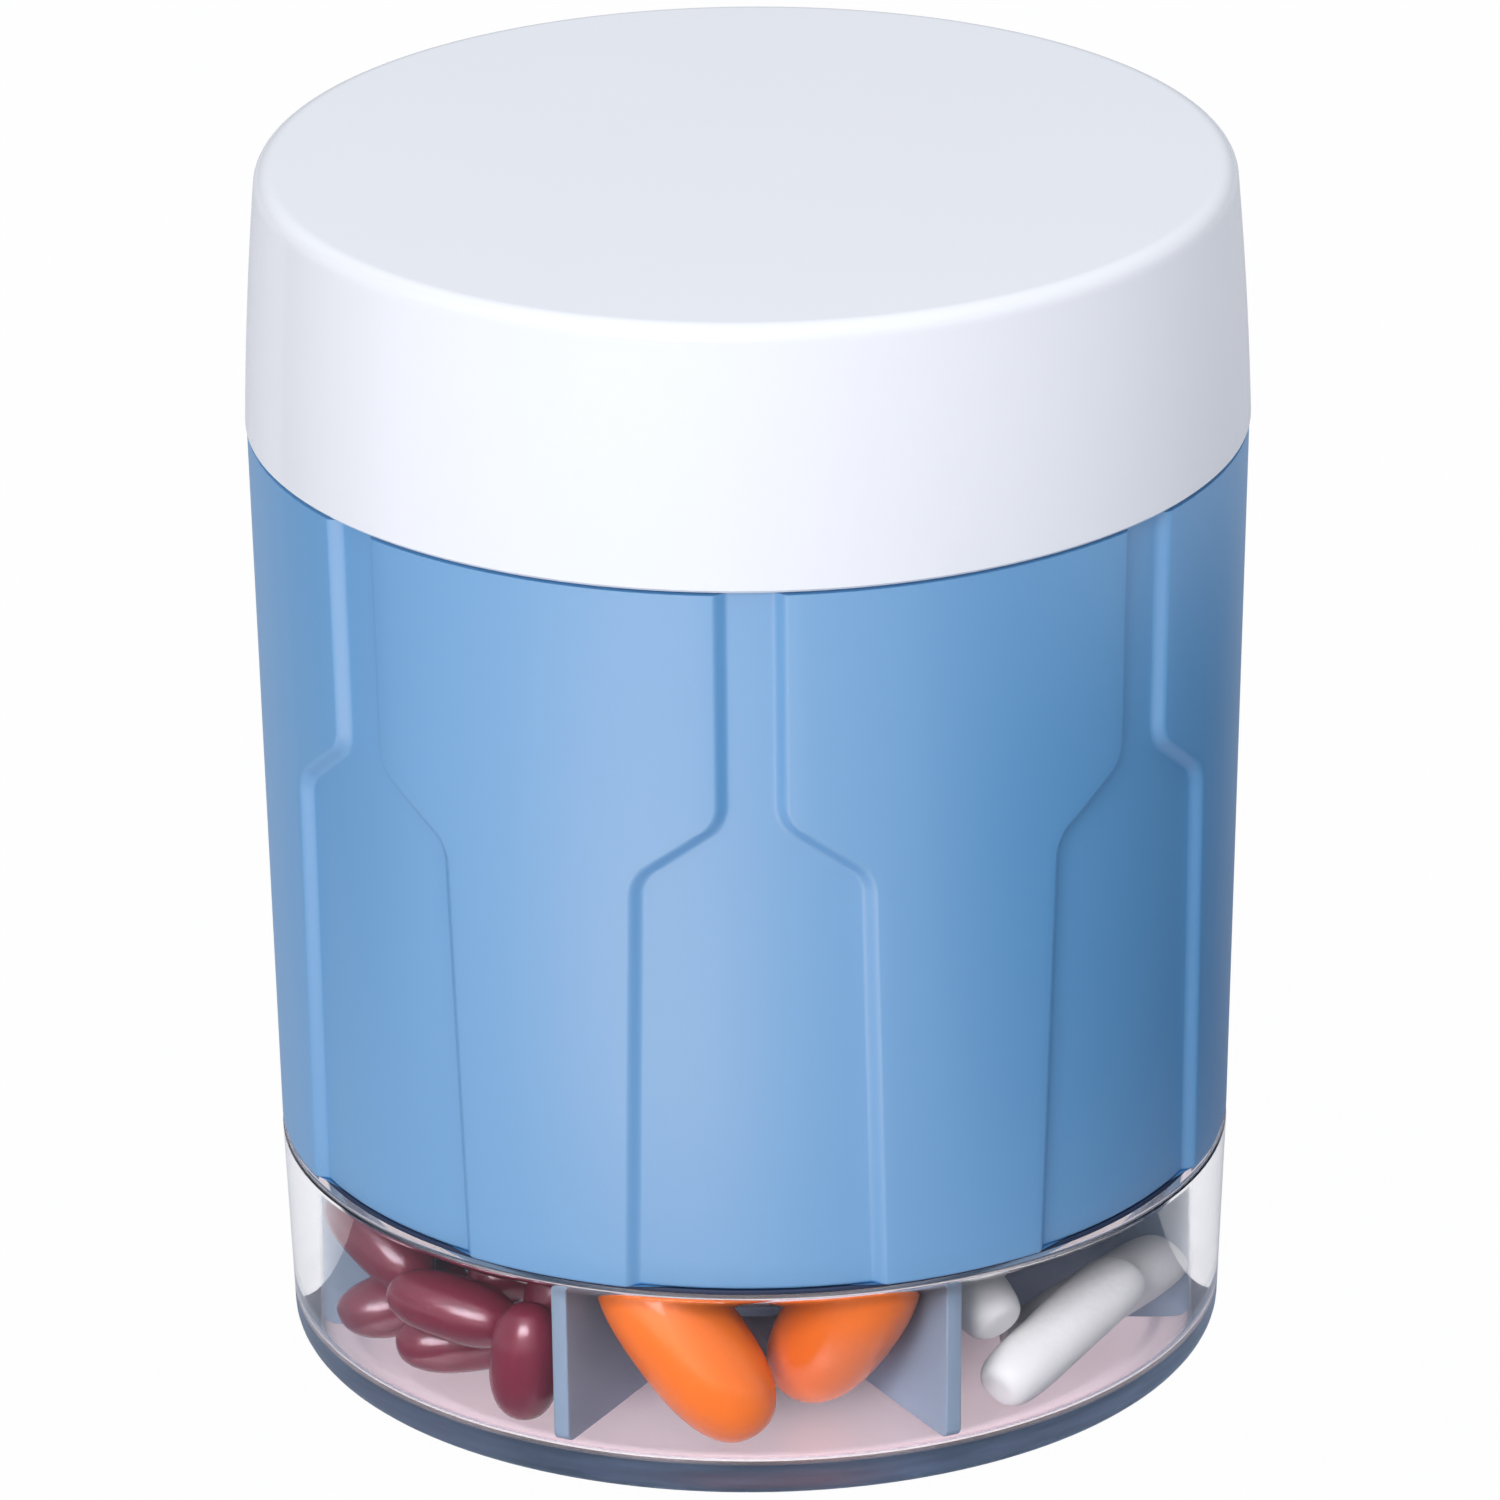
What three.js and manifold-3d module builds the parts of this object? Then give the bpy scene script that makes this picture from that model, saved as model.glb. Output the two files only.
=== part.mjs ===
// Round pill organizer: a push-on lid, a turning pour disc, a casing with seven compartments and a clear base.
import * as THREE from "three";
import Module from "manifold-3d";
import { mergeVertices } from "three/addons/utils/BufferGeometryUtils.js";

const wasm = await Module();
wasm.setup();

// Driving dimensions in millimetres. The part stands on Z = 0 and its axis is Z. Azimuth 0 faces -Y.
const compartmentCount = 7;
const overallHeight = 123.8;
const lidHeight = 26.5;
const baseRimHeight = 22;
const lidRadiusLow = 50;

// Steps from the lid's lower edge in to the walls under it and inside it.
const lidOverhang = 0.15;
const casingLean = 1.85;
const baseLean = 0.85;
const baseWall = 4.2;
const baseRimLedge = 2.5;
const casingBoreStep = 0.1;
const neckShoulderWidth = 2.55;
const neckLean = 0.8;
const neckWall = 1.6;
const neckBoreStep = 0.5;

// Clearances between pieces.
const seatGap = 0.3;
const sealGap = 0.1;
const slideGap = 0.25;
const turnGap = 0.4;

// Overrun of every cut past the face that it cuts through.
const overrun = 1;

// Clear base.
const floorThickness = 3.1;
const footHollowDepth = 0.8;
const footRingWidth = 4.15;
const footRound = 2.2;
const floorRound = 0.8;
const spigotRadius = 4.5;
const spigotHeight = 8.5;
const baseNeckHeight = 8.8;
const neckChamfer = 0.4;

// Gasket between the base and the casing.
const gasketThickness = 0.5;
const gasketWidth = 1.25;

// Casing.
const casingEdgeRound = 0.4;
const neckLeadIn = 0.5;

// Bottle-shaped fields sunk into the casing, one over each compartment.
const fieldDepth = 1.1;
const fieldSlopeWidth = 1.2;
const fieldNeckLength = 24.1;
const fieldShoulderDrop = 6.1;
const fieldNeckHalfWidth = 2.95;
const fieldBodyHalfWidthHigh = 11.55;
const fieldBodyHalfWidthLow = 12.4;
const fieldCornerRadius = 3.8;

// Divider with one vane between each two compartments.
const hubRadius = 7;
const hubPlugLength = 13;
const vaneThickness = 1.6;
const vaneGrooveDepth = 1.15;
const vaneFootChamfer = 1.1;

// Turning pour disc.
const discRecess = 13.5;
const discThickness = 2;
const discLipHeight = 2.3;
const discLipWidth = 1.6;
const bossRadius = 9;
const bossFloorThickness = 4.2;
const wellRadius = 6;
const gripEndGap = 14.5;
const gripThickness = 4;
const gripEndChamfer = 5;
const pourBossGap = 3;
const pourRimWidth = 4;
const pourSideMargin = 3.2;
const pourCornerRadius = 2;

// Bush, screw and cap on the pivot of the disc.
const bushRadius = 3.1;
const bushBore = 1.8;
const bushFlangeRadius = 5.6;
const bushFlangeThickness = 0.9;
const screwRadius = 1.5;
const screwLength = 16;
const screwHeadRadius = 3.3;
const screwHeadHeight = 2.1;
const screwSlotWidth = 0.9;
const screwSlotLength = 4.2;
const screwSlotDepth = 1.1;
const capThickness = 1.4;
const capChamfer = 0.3;
const capLedgeWidth = 0.6;
const capHeadroom = 0.5;
const capInset = 0.3;

// Lid.
const lidWall = 1.9;
const lidTopThickness = 2.2;
const lidLean = 0.6;
const lidBulge = 0.75;
const lidTopRound = 1.8;
const lidEdgeRound = 0.3;
const linerThickness = 2.1;
const plugThickness = 1.8;
const plugEndGap = 0.6;
const plugGap = 0.5;
const lidSealHeight = 2;
const lidSealDepth = 0.9;
const lidSealReach = 0.35;

// Pills: lengths as shares of the base's bore, and girths as shares of the length.
const largeGelLengthShare = 0.5525;
const largeGelGirthShare = 0.463;
const smallGelLengthShare = 0.2968;
const smallGelGirthShare = 0.5308;
const capletLengthShare = 0.4406;
const capletGirthShare = 0.342;
const gelPower = 2.45;
const capletPower = 5;

// Numbers of facets.
const roundSegments = 56;
const smallSegments = 28;
const pillSegments = 16;
const pillRows = 9;
const cornerSteps = 4;
const fieldCornerSteps = 3;
const fieldColumns = 6;

// Radii that follow from the steps.
const casingRadiusHigh = lidRadiusLow - lidOverhang;
const casingRadiusLow = casingRadiusHigh - casingLean;
const baseRadiusLow = casingRadiusLow - baseLean;
const baseBore = casingRadiusLow - baseWall;
const baseNeckRadius = casingRadiusLow - baseRimLedge;
const footFlatRadius = baseRadiusLow - footRound;
const footHollowRadius = footFlatRadius - footRingWidth - footHollowDepth;
const socketRadius = baseNeckRadius + slideGap;
const neckRadiusLow = casingRadiusHigh - neckShoulderWidth;
const neckRadiusHigh = neckRadiusLow - neckLean;
const neckBore = neckRadiusHigh - neckWall;
const casingBoreLow = baseBore + casingBoreStep;
const casingBoreHigh = neckBore - neckBoreStep;
const discRadius = neckBore - turnGap;
const gripHalfLength = discRadius - gripEndGap;
const pourInnerRadius = bossRadius + pourBossGap;
const pourOuterRadius = discRadius - pourRimWidth;
const plugRadius = neckBore - plugGap;

// Heights that follow, from the base up and from the lid down.
const pitchAngle = (2 * Math.PI) / compartmentCount;
const gasketBottom = baseRimHeight + sealGap;
const casingBottom = gasketBottom + gasketThickness + sealGap;
const socketTop = baseRimHeight + baseNeckHeight + slideGap;
const lidBottom = overallHeight - lidHeight;
const lidSideTop = overallHeight - lidTopRound;
const lidCeiling = overallHeight - lidTopThickness;
const shoulderHeight = lidBottom - seatGap;
const linerTop = lidCeiling - seatGap;
const linerBottom = linerTop - linerThickness;
const neckTop = linerBottom - turnGap;
const vaneTopHeight = neckTop - discRecess;
const discBottom = vaneTopHeight + turnGap;
const discTop = discBottom + discThickness;
const plugBottom = discTop + discLipHeight + plugEndGap;
const bossFloorTop = discBottom + bossFloorThickness;
const flangeBottom = bossFloorTop + sealGap * 2;
const flangeTop = flangeBottom + bushFlangeThickness;
const screwHeadBottom = flangeTop + sealGap;
const screwHeadTop = screwHeadBottom + screwHeadHeight;
const capBottom = screwHeadTop + capHeadroom;
const capLedge = capBottom - sealGap;
const bossTop = capBottom + capThickness + capInset;
const fieldShoulderHigh = shoulderHeight - fieldNeckLength;
const fieldShoulderLow = fieldShoulderHigh - fieldShoulderDrop;

// Materials.
const surfaces = {
  lid: { color: 0xf4f5fb, roughness: 0.22, metalness: 0 },
  liner: { color: 0xe9ebf2, roughness: 0.4, metalness: 0 },
  casing: { color: 0x86b3e2, roughness: 0.38, metalness: 0 },
  divider: { color: 0x9fbfe2, roughness: 0.42, metalness: 0 },
  disc: { color: 0xf1f3f8, roughness: 0.35, metalness: 0 },
  clear: { color: 0xf2f4fb, roughness: 0.05, metalness: 0, transparent: true, opacity: 0.3 },
  gasket: { color: 0x22365c, roughness: 0.6, metalness: 0 },
  silicone: { color: 0xd9dde6, roughness: 0.6, metalness: 0 },
  steel: { color: 0xc4c7cc, roughness: 0.25, metalness: 1 },
  burgundyGel: { color: 0x6e1a30, roughness: 0.12, metalness: 0 },
  orangeGel: { color: 0xf8731c, roughness: 0.2, metalness: 0 },
  whiteCoat: { color: 0xf1f1ef, roughness: 0.5, metalness: 0 },
};

function material(kind) {
  return new THREE.MeshStandardMaterial(surfaces[kind]);
}

// A closed geometry as a solid that booleans can join and cut.
function solidOf(geometry) {
  const bare = geometry.index ? geometry.toNonIndexed() : geometry.clone();
  bare.deleteAttribute("normal");
  bare.deleteAttribute("uv");
  const merged = mergeVertices(bare);
  const mesh = new wasm.Mesh({
    numProp: 3,
    vertProperties: merged.attributes.position.array,
    triVerts: new Uint32Array(merged.index.array),
  });
  return new wasm.Manifold(mesh);
}

function geometryOf(solid) {
  const mesh = solid.getMesh();
  const places = new Float32Array(mesh.numVert * 3);
  for (let i = 0; i < mesh.numVert; i += 1) {
    for (let k = 0; k < 3; k += 1) {
      places[i * 3 + k] = mesh.vertProperties[i * mesh.numProp + k];
    }
  }
  const geometry = new THREE.BufferGeometry();
  geometry.setAttribute("position", new THREE.BufferAttribute(places, 3));
  geometry.setIndex(new THREE.BufferAttribute(new Uint32Array(mesh.triVerts), 1));
  geometry.computeVertexNormals();
  return geometry;
}

function piece(name, geometry, kind) {
  const mesh = new THREE.Mesh(geometry, material(kind));
  mesh.name = name;
  return mesh;
}

// Body of revolution about Z from radius and height pairs, run upwards on the outside.
function turned(profile, segments = roundSegments) {
  const points = profile.map(([radius, height]) => new THREE.Vector2(radius, height));
  return new THREE.LatheGeometry(points, segments).rotateX(Math.PI / 2);
}

// Ring of revolution: the profile closes on itself.
function turnedRing(profile, segments = roundSegments) {
  return turned([...profile, profile[0]], segments);
}

function arc(centreRadius, centreHeight, radius, fromDegrees, toDegrees, steps = cornerSteps) {
  const points = [];
  for (let i = 0; i <= steps; i += 1) {
    const angle = THREE.MathUtils.degToRad(fromDegrees + ((toDegrees - fromDegrees) * i) / steps);
    points.push([centreRadius + radius * Math.cos(angle), centreHeight + radius * Math.sin(angle)]);
  }
  return points;
}

function mix(low, high, share) {
  return low + (high - low) * share;
}

function casingRadiusAt(height) {
  const share = (height - casingBottom) / (shoulderHeight - casingBottom);
  return mix(casingRadiusLow, casingRadiusHigh, share);
}

// Block from two opposite corners.
function block(low, high) {
  const size = high.map((value, i) => value - low[i]);
  const middle = high.map((value, i) => (value + low[i]) / 2);
  return new THREE.BoxGeometry(...size).translate(...middle);
}

// Upright bar whose outline lies in the plane of radius and height, turned to an azimuth.
function uprightPlate(outline, thickness, azimuth) {
  const shape = new THREE.Shape(outline.map(([radius, height]) => new THREE.Vector2(radius, height)));
  const plate = new THREE.ExtrudeGeometry(shape, { depth: thickness, bevelEnabled: false });
  plate.translate(0, 0, -thickness / 2).rotateX(Math.PI / 2);
  return plate.rotateZ(azimuth - Math.PI / 2);
}

function vaneAzimuth(index) {
  return (index + 0.5) * pitchAngle;
}

// Clear base cup with a round foot, a flat floor, a spigot and a neck that goes up into the casing.
function baseCup() {
  const neckTopHeight = baseRimHeight + baseNeckHeight;
  const spigotTop = floorThickness + spigotHeight;
  const profile = [
    [0, footHollowDepth],
    [footHollowRadius, footHollowDepth],
    [footHollowRadius + footHollowDepth, 0],
    ...arc(footFlatRadius, footRound, footRound, -90, 0),
    [casingRadiusLow, baseRimHeight],
    [baseNeckRadius, baseRimHeight],
    [baseNeckRadius, neckTopHeight - neckChamfer],
    [baseNeckRadius - neckChamfer, neckTopHeight],
    [baseBore, neckTopHeight],
    ...arc(baseBore - floorRound, floorThickness + floorRound, floorRound, 0, -90, 2),
    [spigotRadius, floorThickness],
    [spigotRadius, spigotTop - neckChamfer],
    [spigotRadius - neckChamfer, spigotTop],
    [0, spigotTop],
  ];
  return piece("base_cup", turned(profile), "clear");
}

// Thin gasket that shows as a dark line between the base and the casing.
function baseSeal() {
  const inner = baseNeckRadius + slideGap / 2;
  const outer = inner + gasketWidth;
  const top = gasketBottom + gasketThickness;
  const profile = [
    [inner, gasketBottom],
    [outer, gasketBottom],
    [outer, top],
    [inner, top],
  ];
  return piece("base_seal", turnedRing(profile), "gasket");
}

// Mid-line of one side of a sunk field, as half width and height, from the top down, with round corners.
function fieldSide() {
  const top = shoulderHeight + overrun;
  const bottom = casingBottom - overrun;
  const corners = [
    new THREE.Vector2(fieldNeckHalfWidth, top),
    new THREE.Vector2(fieldNeckHalfWidth, fieldShoulderHigh),
    new THREE.Vector2(fieldBodyHalfWidthHigh, fieldShoulderLow),
    new THREE.Vector2(fieldBodyHalfWidthLow, bottom),
  ];
  const rows = [{ at: corners[0], down: new THREE.Vector2(0, -1) }];
  for (let i = 1; i < corners.length - 1; i += 1) {
    rows.push(...roundCorner(corners[i - 1], corners[i], corners[i + 1], fieldCornerRadius));
  }
  const last = corners[3].clone().sub(corners[2]).normalize();
  rows.push({ at: corners[2].clone().lerp(corners[3], 0.5), down: last });
  rows.push({ at: corners[3], down: last });
  return rows;
}

// Points on the arc that rounds a corner, each with its direction of travel.
function roundCorner(before, corner, after, radius) {
  const arriving = corner.clone().sub(before).normalize();
  const leaving = after.clone().sub(corner).normalize();
  const turn = Math.acos(arriving.dot(leaving));
  const cut = radius * Math.tan(turn / 2);
  const sign = Math.sign(arriving.x * leaving.y - arriving.y * leaving.x);
  const start = corner.clone().addScaledVector(arriving, -cut);
  const inward = new THREE.Vector2(-arriving.y, arriving.x).multiplyScalar(sign);
  const centre = start.clone().addScaledVector(inward, radius);
  const rows = [];
  for (let i = 0; i <= fieldCornerSteps; i += 1) {
    const angle = (sign * turn * i) / fieldCornerSteps;
    const origin = new THREE.Vector2(0, 0);
    const spoke = start.clone().sub(centre).rotateAround(origin, angle);
    rows.push({ at: centre.clone().add(spoke), down: arriving.clone().rotateAround(origin, angle) });
  }
  return rows;
}

// Solid that cuts one field: an inner sheet on the field's floor and an outer sheet outside the casing.
function fieldCutter(azimuth) {
  const rows = fieldSide();
  const sheets = [
    { sink: fieldDepth, spread: -fieldSlopeWidth / 2 },
    { sink: -overrun, spread: fieldSlopeWidth * (overrun / fieldDepth + 0.5) },
  ];
  const places = [];
  for (const { sink, spread } of sheets) {
    for (const { at, down } of rows) {
      const halfWidth = at.x - down.y * spread;
      const edgeHeight = at.y + down.x * spread;
      for (let column = 0; column <= fieldColumns; column += 1) {
        const share = (2 * column) / fieldColumns - 1;
        const angle = azimuth + (share * halfWidth) / casingRadiusAt(edgeHeight);
        const radius = casingRadiusAt(edgeHeight) - sink;
        places.push(radius * Math.sin(angle), -radius * Math.cos(angle), edgeHeight);
      }
    }
  }
  return closedSheets(places, rows.length, fieldColumns + 1);
}

// Geometry between two sheets of the same grid, closed along their edges.
function closedSheets(places, rowCount, columnCount) {
  const faces = [];
  const index = (sheet, row, column) => (sheet * rowCount + row) * columnCount + column;
  const quad = (a, b, c, d) => faces.push(a, b, c, a, c, d);
  for (let row = 0; row < rowCount - 1; row += 1) {
    for (let column = 0; column < columnCount - 1; column += 1) {
      quad(
        index(0, row, column),
        index(0, row, column + 1),
        index(0, row + 1, column + 1),
        index(0, row + 1, column),
      );
      quad(
        index(1, row, column),
        index(1, row + 1, column),
        index(1, row + 1, column + 1),
        index(1, row, column + 1),
      );
    }
  }
  const last = columnCount - 1;
  const end = rowCount - 1;
  for (let row = 0; row < end; row += 1) {
    quad(index(0, row, 0), index(0, row + 1, 0), index(1, row + 1, 0), index(1, row, 0));
    quad(index(0, row, last), index(1, row, last), index(1, row + 1, last), index(0, row + 1, last));
  }
  for (let column = 0; column < last; column += 1) {
    quad(index(0, 0, column), index(1, 0, column), index(1, 0, column + 1), index(0, 0, column + 1));
    quad(
      index(0, end, column),
      index(0, end, column + 1),
      index(1, end, column + 1),
      index(1, end, column),
    );
  }
  const geometry = new THREE.BufferGeometry();
  geometry.setAttribute("position", new THREE.Float32BufferAttribute(places, 3));
  geometry.setIndex(faces);
  return geometry;
}

// Casing: conical skin, neck for the lid, socket for the base, sunk fields and vane grooves.
function outerShell() {
  const profile = [
    [casingRadiusLow - casingEdgeRound, casingBottom],
    [casingRadiusAt(casingBottom + casingEdgeRound), casingBottom + casingEdgeRound],
    [casingRadiusHigh, shoulderHeight],
    [neckRadiusLow, shoulderHeight],
    [neckRadiusHigh, neckTop - neckLeadIn],
    [neckRadiusHigh - neckLeadIn, neckTop],
    [neckBore + neckLeadIn, neckTop],
    [neckBore, neckTop - neckLeadIn],
    [neckBore, shoulderHeight],
    [casingBoreHigh, shoulderHeight - neckLeadIn],
    [casingBoreLow, socketTop],
    [socketRadius, socketTop],
    [socketRadius, casingBottom],
  ];
  let shell = solidOf(turnedRing(profile));
  for (let i = 0; i < compartmentCount; i += 1) {
    shell = shell.subtract(solidOf(fieldCutter(i * pitchAngle)));
    shell = shell.subtract(solidOf(vaneGroove(vaneAzimuth(i))));
  }
  return piece("outer_shell", geometryOf(shell), "casing");
}

function vaneGroove(azimuth) {
  const outline = [
    [hubRadius, socketTop - overrun],
    [casingBoreLow + vaneGrooveDepth, socketTop - overrun],
    [casingBoreLow + vaneGrooveDepth, shoulderHeight + overrun],
    [hubRadius, shoulderHeight + overrun],
  ];
  return uprightPlate(outline, vaneThickness + 2 * slideGap, azimuth);
}

// Divider: hub with a blind bore for the base's spigot and a pilot hole for the screw, and the vanes.
function dividerCore() {
  const bottom = floorThickness + seatGap;
  const bore = spigotRadius + slideGap;
  const plugBottomHeight = vaneTopHeight - hubPlugLength;
  const pilot = screwRadius + slideGap;
  const profile = [
    [bore, bottom],
    [hubRadius, bottom],
    [hubRadius, vaneTopHeight],
    [pilot, vaneTopHeight],
    [pilot, plugBottomHeight],
    [bore, plugBottomHeight],
  ];
  let core = solidOf(turnedRing(profile, smallSegments));
  for (let i = 0; i < compartmentCount; i += 1) {
    core = core.add(solidOf(vane(vaneAzimuth(i))));
  }
  return piece("divider_core", geometryOf(core), "divider");
}

function vane(azimuth) {
  const bottom = floorThickness + seatGap;
  const rootRadius = (spigotRadius + slideGap + hubRadius) / 2;
  const baseEdge = baseBore - seatGap;
  const casingEdge = casingBoreLow + vaneGrooveDepth - seatGap;
  const step = socketTop + slideGap;
  const outline = [
    [rootRadius, bottom],
    [baseEdge - vaneFootChamfer, bottom],
    [baseEdge, bottom + vaneFootChamfer],
    [baseEdge, step],
    [casingEdge, step],
    [Math.min(casingEdge, neckBore - slideGap), vaneTopHeight],
    [rootRadius, vaneTopHeight],
  ];
  return uprightPlate(outline, vaneThickness, azimuth);
}

// Turning disc with a raised lip, a boss with a well, a finger grip and a pour opening.
function selectorDisc() {
  const hole = bushRadius + seatGap;
  const profile = [
    [hole, discBottom],
    [discRadius, discBottom],
    [discRadius, discTop + discLipHeight],
    [discRadius - discLipWidth, discTop + discLipHeight],
    [discRadius - discLipWidth, discTop],
    [bossRadius, discTop],
    [bossRadius, bossTop],
    [wellRadius + capLedgeWidth, bossTop],
    [wellRadius + capLedgeWidth, capLedge],
    [wellRadius, capLedge],
    [wellRadius, bossFloorTop],
    [hole, bossFloorTop],
  ];
  let disc = solidOf(turnedRing(profile));
  const grip = solidOf(gripBar()).subtract(solidOf(gripWell()));
  disc = disc.add(grip).subtract(solidOf(pourOpening()));
  return piece("selector_disc", geometryOf(disc), "disc");
}

function gripBar() {
  const low = discTop - discThickness / 2;
  const outline = [
    [-gripHalfLength, low],
    [gripHalfLength, low],
    [gripHalfLength, bossTop - gripEndChamfer],
    [gripHalfLength - gripEndChamfer, bossTop],
    [gripEndChamfer - gripHalfLength, bossTop],
    [-gripHalfLength, bossTop - gripEndChamfer],
  ];
  return uprightPlate(outline, gripThickness, Math.PI / 2);
}

function gripWell() {
  const radius = (wellRadius + capLedgeWidth + bossRadius) / 2;
  const height = bossTop - discBottom + 2 * overrun;
  const well = new THREE.CylinderGeometry(radius, radius, height, smallSegments);
  return well.rotateX(Math.PI / 2).translate(0, 0, discBottom - overrun + height / 2);
}

// Azimuth at which a line that runs beside a vane's mid-plane crosses a radius.
function sideAzimuth(radius, margin) {
  return pitchAngle / 2 - Math.asin(margin / radius);
}

function pourOpening() {
  const outerHalf = sideAzimuth(pourOuterRadius, pourSideMargin);
  const innerHalf = sideAzimuth(pourInnerRadius, pourSideMargin);
  const steps = cornerSteps * 2;
  const corners = [polar(pourInnerRadius, innerHalf), polar(pourInnerRadius, -innerHalf)];
  for (let i = 0; i <= steps; i += 1) {
    corners.push(polar(pourOuterRadius, outerHalf * ((2 * i) / steps - 1)));
  }
  const sharp = [0, 1, 2, corners.length - 1];
  const shape = roundedShape(corners, sharp, pourCornerRadius);
  const depth = discThickness + 2 * overrun;
  const cut = new THREE.ExtrudeGeometry(shape, { depth, bevelEnabled: false, curveSegments: cornerSteps });
  return cut.translate(0, 0, discBottom - overrun);
}

function polar(radius, azimuth) {
  return new THREE.Vector2(radius * Math.sin(azimuth), -radius * Math.cos(azimuth));
}

// Outline through the corners, with the listed ones rounded.
function roundedShape(corners, sharp, radius) {
  const shape = new THREE.Shape();
  const count = corners.length;
  corners.forEach((corner, i) => {
    const before = corners[(i + count - 1) % count];
    const after = corners[(i + 1) % count];
    const reach = (other) => Math.min(radius, corner.distanceTo(other) / 2);
    const arrive = corner.clone().add(before.clone().sub(corner).setLength(reach(before)));
    const leave = corner.clone().add(after.clone().sub(corner).setLength(reach(after)));
    const start = sharp.includes(i) ? arrive : corner;
    if (i === 0) {
      shape.moveTo(start.x, start.y);
    } else {
      shape.lineTo(start.x, start.y);
    }
    if (sharp.includes(i)) {
      shape.quadraticCurveTo(corner.x, corner.y, leave.x, leave.y);
    }
  });
  shape.closePath();
  return shape;
}

function pivotBush() {
  const profile = [
    [bushBore, vaneTopHeight + sealGap],
    [bushRadius, vaneTopHeight + sealGap],
    [bushRadius, flangeBottom],
    [bushFlangeRadius, flangeBottom],
    [bushFlangeRadius, flangeTop],
    [bushBore, flangeTop],
  ];
  return piece("pivot_bush", turnedRing(profile, smallSegments), "steel");
}

function pivotScrew() {
  const tip = screwHeadBottom - screwLength;
  const profile = [
    [0, tip],
    [screwRadius, tip + screwRadius],
    [screwRadius, screwHeadBottom],
    [screwHeadRadius, screwHeadBottom],
    [screwHeadRadius, screwHeadBottom + screwHeadHeight / 2],
    [screwHeadRadius / 2, screwHeadTop],
    [0, screwHeadTop],
  ];
  let screw = solidOf(turned(profile, smallSegments));
  const slotLow = screwHeadTop - screwSlotDepth;
  const slotHigh = screwHeadTop + overrun;
  for (const [halfX, halfY] of [
    [screwSlotLength / 2, screwSlotWidth / 2],
    [screwSlotWidth / 2, screwSlotLength / 2],
  ]) {
    screw = screw.subtract(solidOf(block([-halfX, -halfY, slotLow], [halfX, halfY, slotHigh])));
  }
  return piece("pivot_screw", geometryOf(screw), "steel");
}

function pivotCap() {
  const radius = wellRadius + capLedgeWidth - slideGap;
  const top = capBottom + capThickness;
  const profile = [
    [0, capBottom],
    [radius, capBottom],
    [radius, top - capChamfer],
    [radius - capChamfer, top],
    [0, top],
  ];
  return piece("pivot_cap", turned(profile, smallSegments), "disc");
}

// Outer radius of the lid at a share of its side's height.
function lidRadiusAt(share) {
  return lidRadiusLow - lidLean * share - lidBulge * share * share;
}

function lidSide(inset, low, high, shares) {
  const span = lidSideTop - lidBottom;
  return shares.map((share) => {
    const height = mix(low, high, share);
    return [lidRadiusAt((height - lidBottom) / span) - inset, height];
  });
}

function lidShell() {
  const sideShares = [0, 0.25, 0.5, 0.75, 1];
  const topRadius = lidRadiusAt(1);
  const innerTop = lidCeiling - lidTopRound / 2;
  const profile = [
    [0, lidCeiling],
    [lidSide(lidWall, innerTop, innerTop, [1])[0][0] - lidTopRound / 2, lidCeiling],
    ...lidSide(lidWall, lidBottom, innerTop, [0, 0.5, 1]).reverse(),
    [lidRadiusLow - lidEdgeRound, lidBottom],
    ...lidSide(0, lidBottom + lidEdgeRound, lidSideTop, sideShares),
    ...arc(topRadius - lidTopRound, lidSideTop, lidTopRound, 0, 90).slice(1),
    [0, overallHeight],
  ];
  return piece("lid_shell", turned(profile), "lid");
}

// Plate inside the lid with a plug ring and a groove for the seal.
function lidLiner() {
  const span = lidSideTop - lidBottom;
  const radius = lidRadiusAt((linerTop - lidBottom) / span) - lidWall - lidTopRound / 2;
  const grooveLow = sealLow() - seatGap;
  const grooveHigh = sealLow() + lidSealHeight + seatGap;
  const grooveRadius = plugRadius - lidSealDepth;
  const profile = [
    [0, linerBottom],
    [plugRadius - plugThickness, linerBottom],
    [plugRadius - plugThickness, plugBottom],
    [plugRadius - neckChamfer, plugBottom],
    [plugRadius, plugBottom + neckChamfer],
    [plugRadius, grooveLow],
    [grooveRadius, grooveLow],
    [grooveRadius, grooveHigh],
    [plugRadius, grooveHigh],
    [plugRadius, linerBottom],
    [radius, linerBottom],
    [radius, linerTop],
    [0, linerTop],
  ];
  return piece("lid_liner", turned(profile), "liner");
}

function sealLow() {
  return (plugBottom + linerBottom - lidSealHeight) / 2;
}

function lidSeal() {
  const inner = plugRadius - lidSealDepth + slideGap;
  const outer = plugRadius + lidSealReach;
  const low = sealLow();
  const profile = [
    [inner, low],
    [outer - lidSealReach, low],
    [outer, low + lidSealHeight / 2],
    [outer - lidSealReach, low + lidSealHeight],
    [inner, low + lidSealHeight],
  ];
  return piece("lid_seal", turnedRing(profile), "silicone");
}

// Pill with a superellipse for its long section: the power sets how blunt its ends are.
function pillGeometry(length, girthShare, power) {
  const profile = [];
  for (let i = 0; i < pillRows; i += 1) {
    const angle = Math.PI * (i / (pillRows - 1) - 0.5);
    const along = Math.sign(angle) * Math.abs(Math.sin(angle)) ** (2 / power);
    const across = i % (pillRows - 1) === 0 ? 0 : Math.cos(angle) ** (2 / power);
    profile.push([(across * length * girthShare) / 2, (along * length) / 2]);
  }
  return turned(profile, pillSegments);
}

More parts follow.
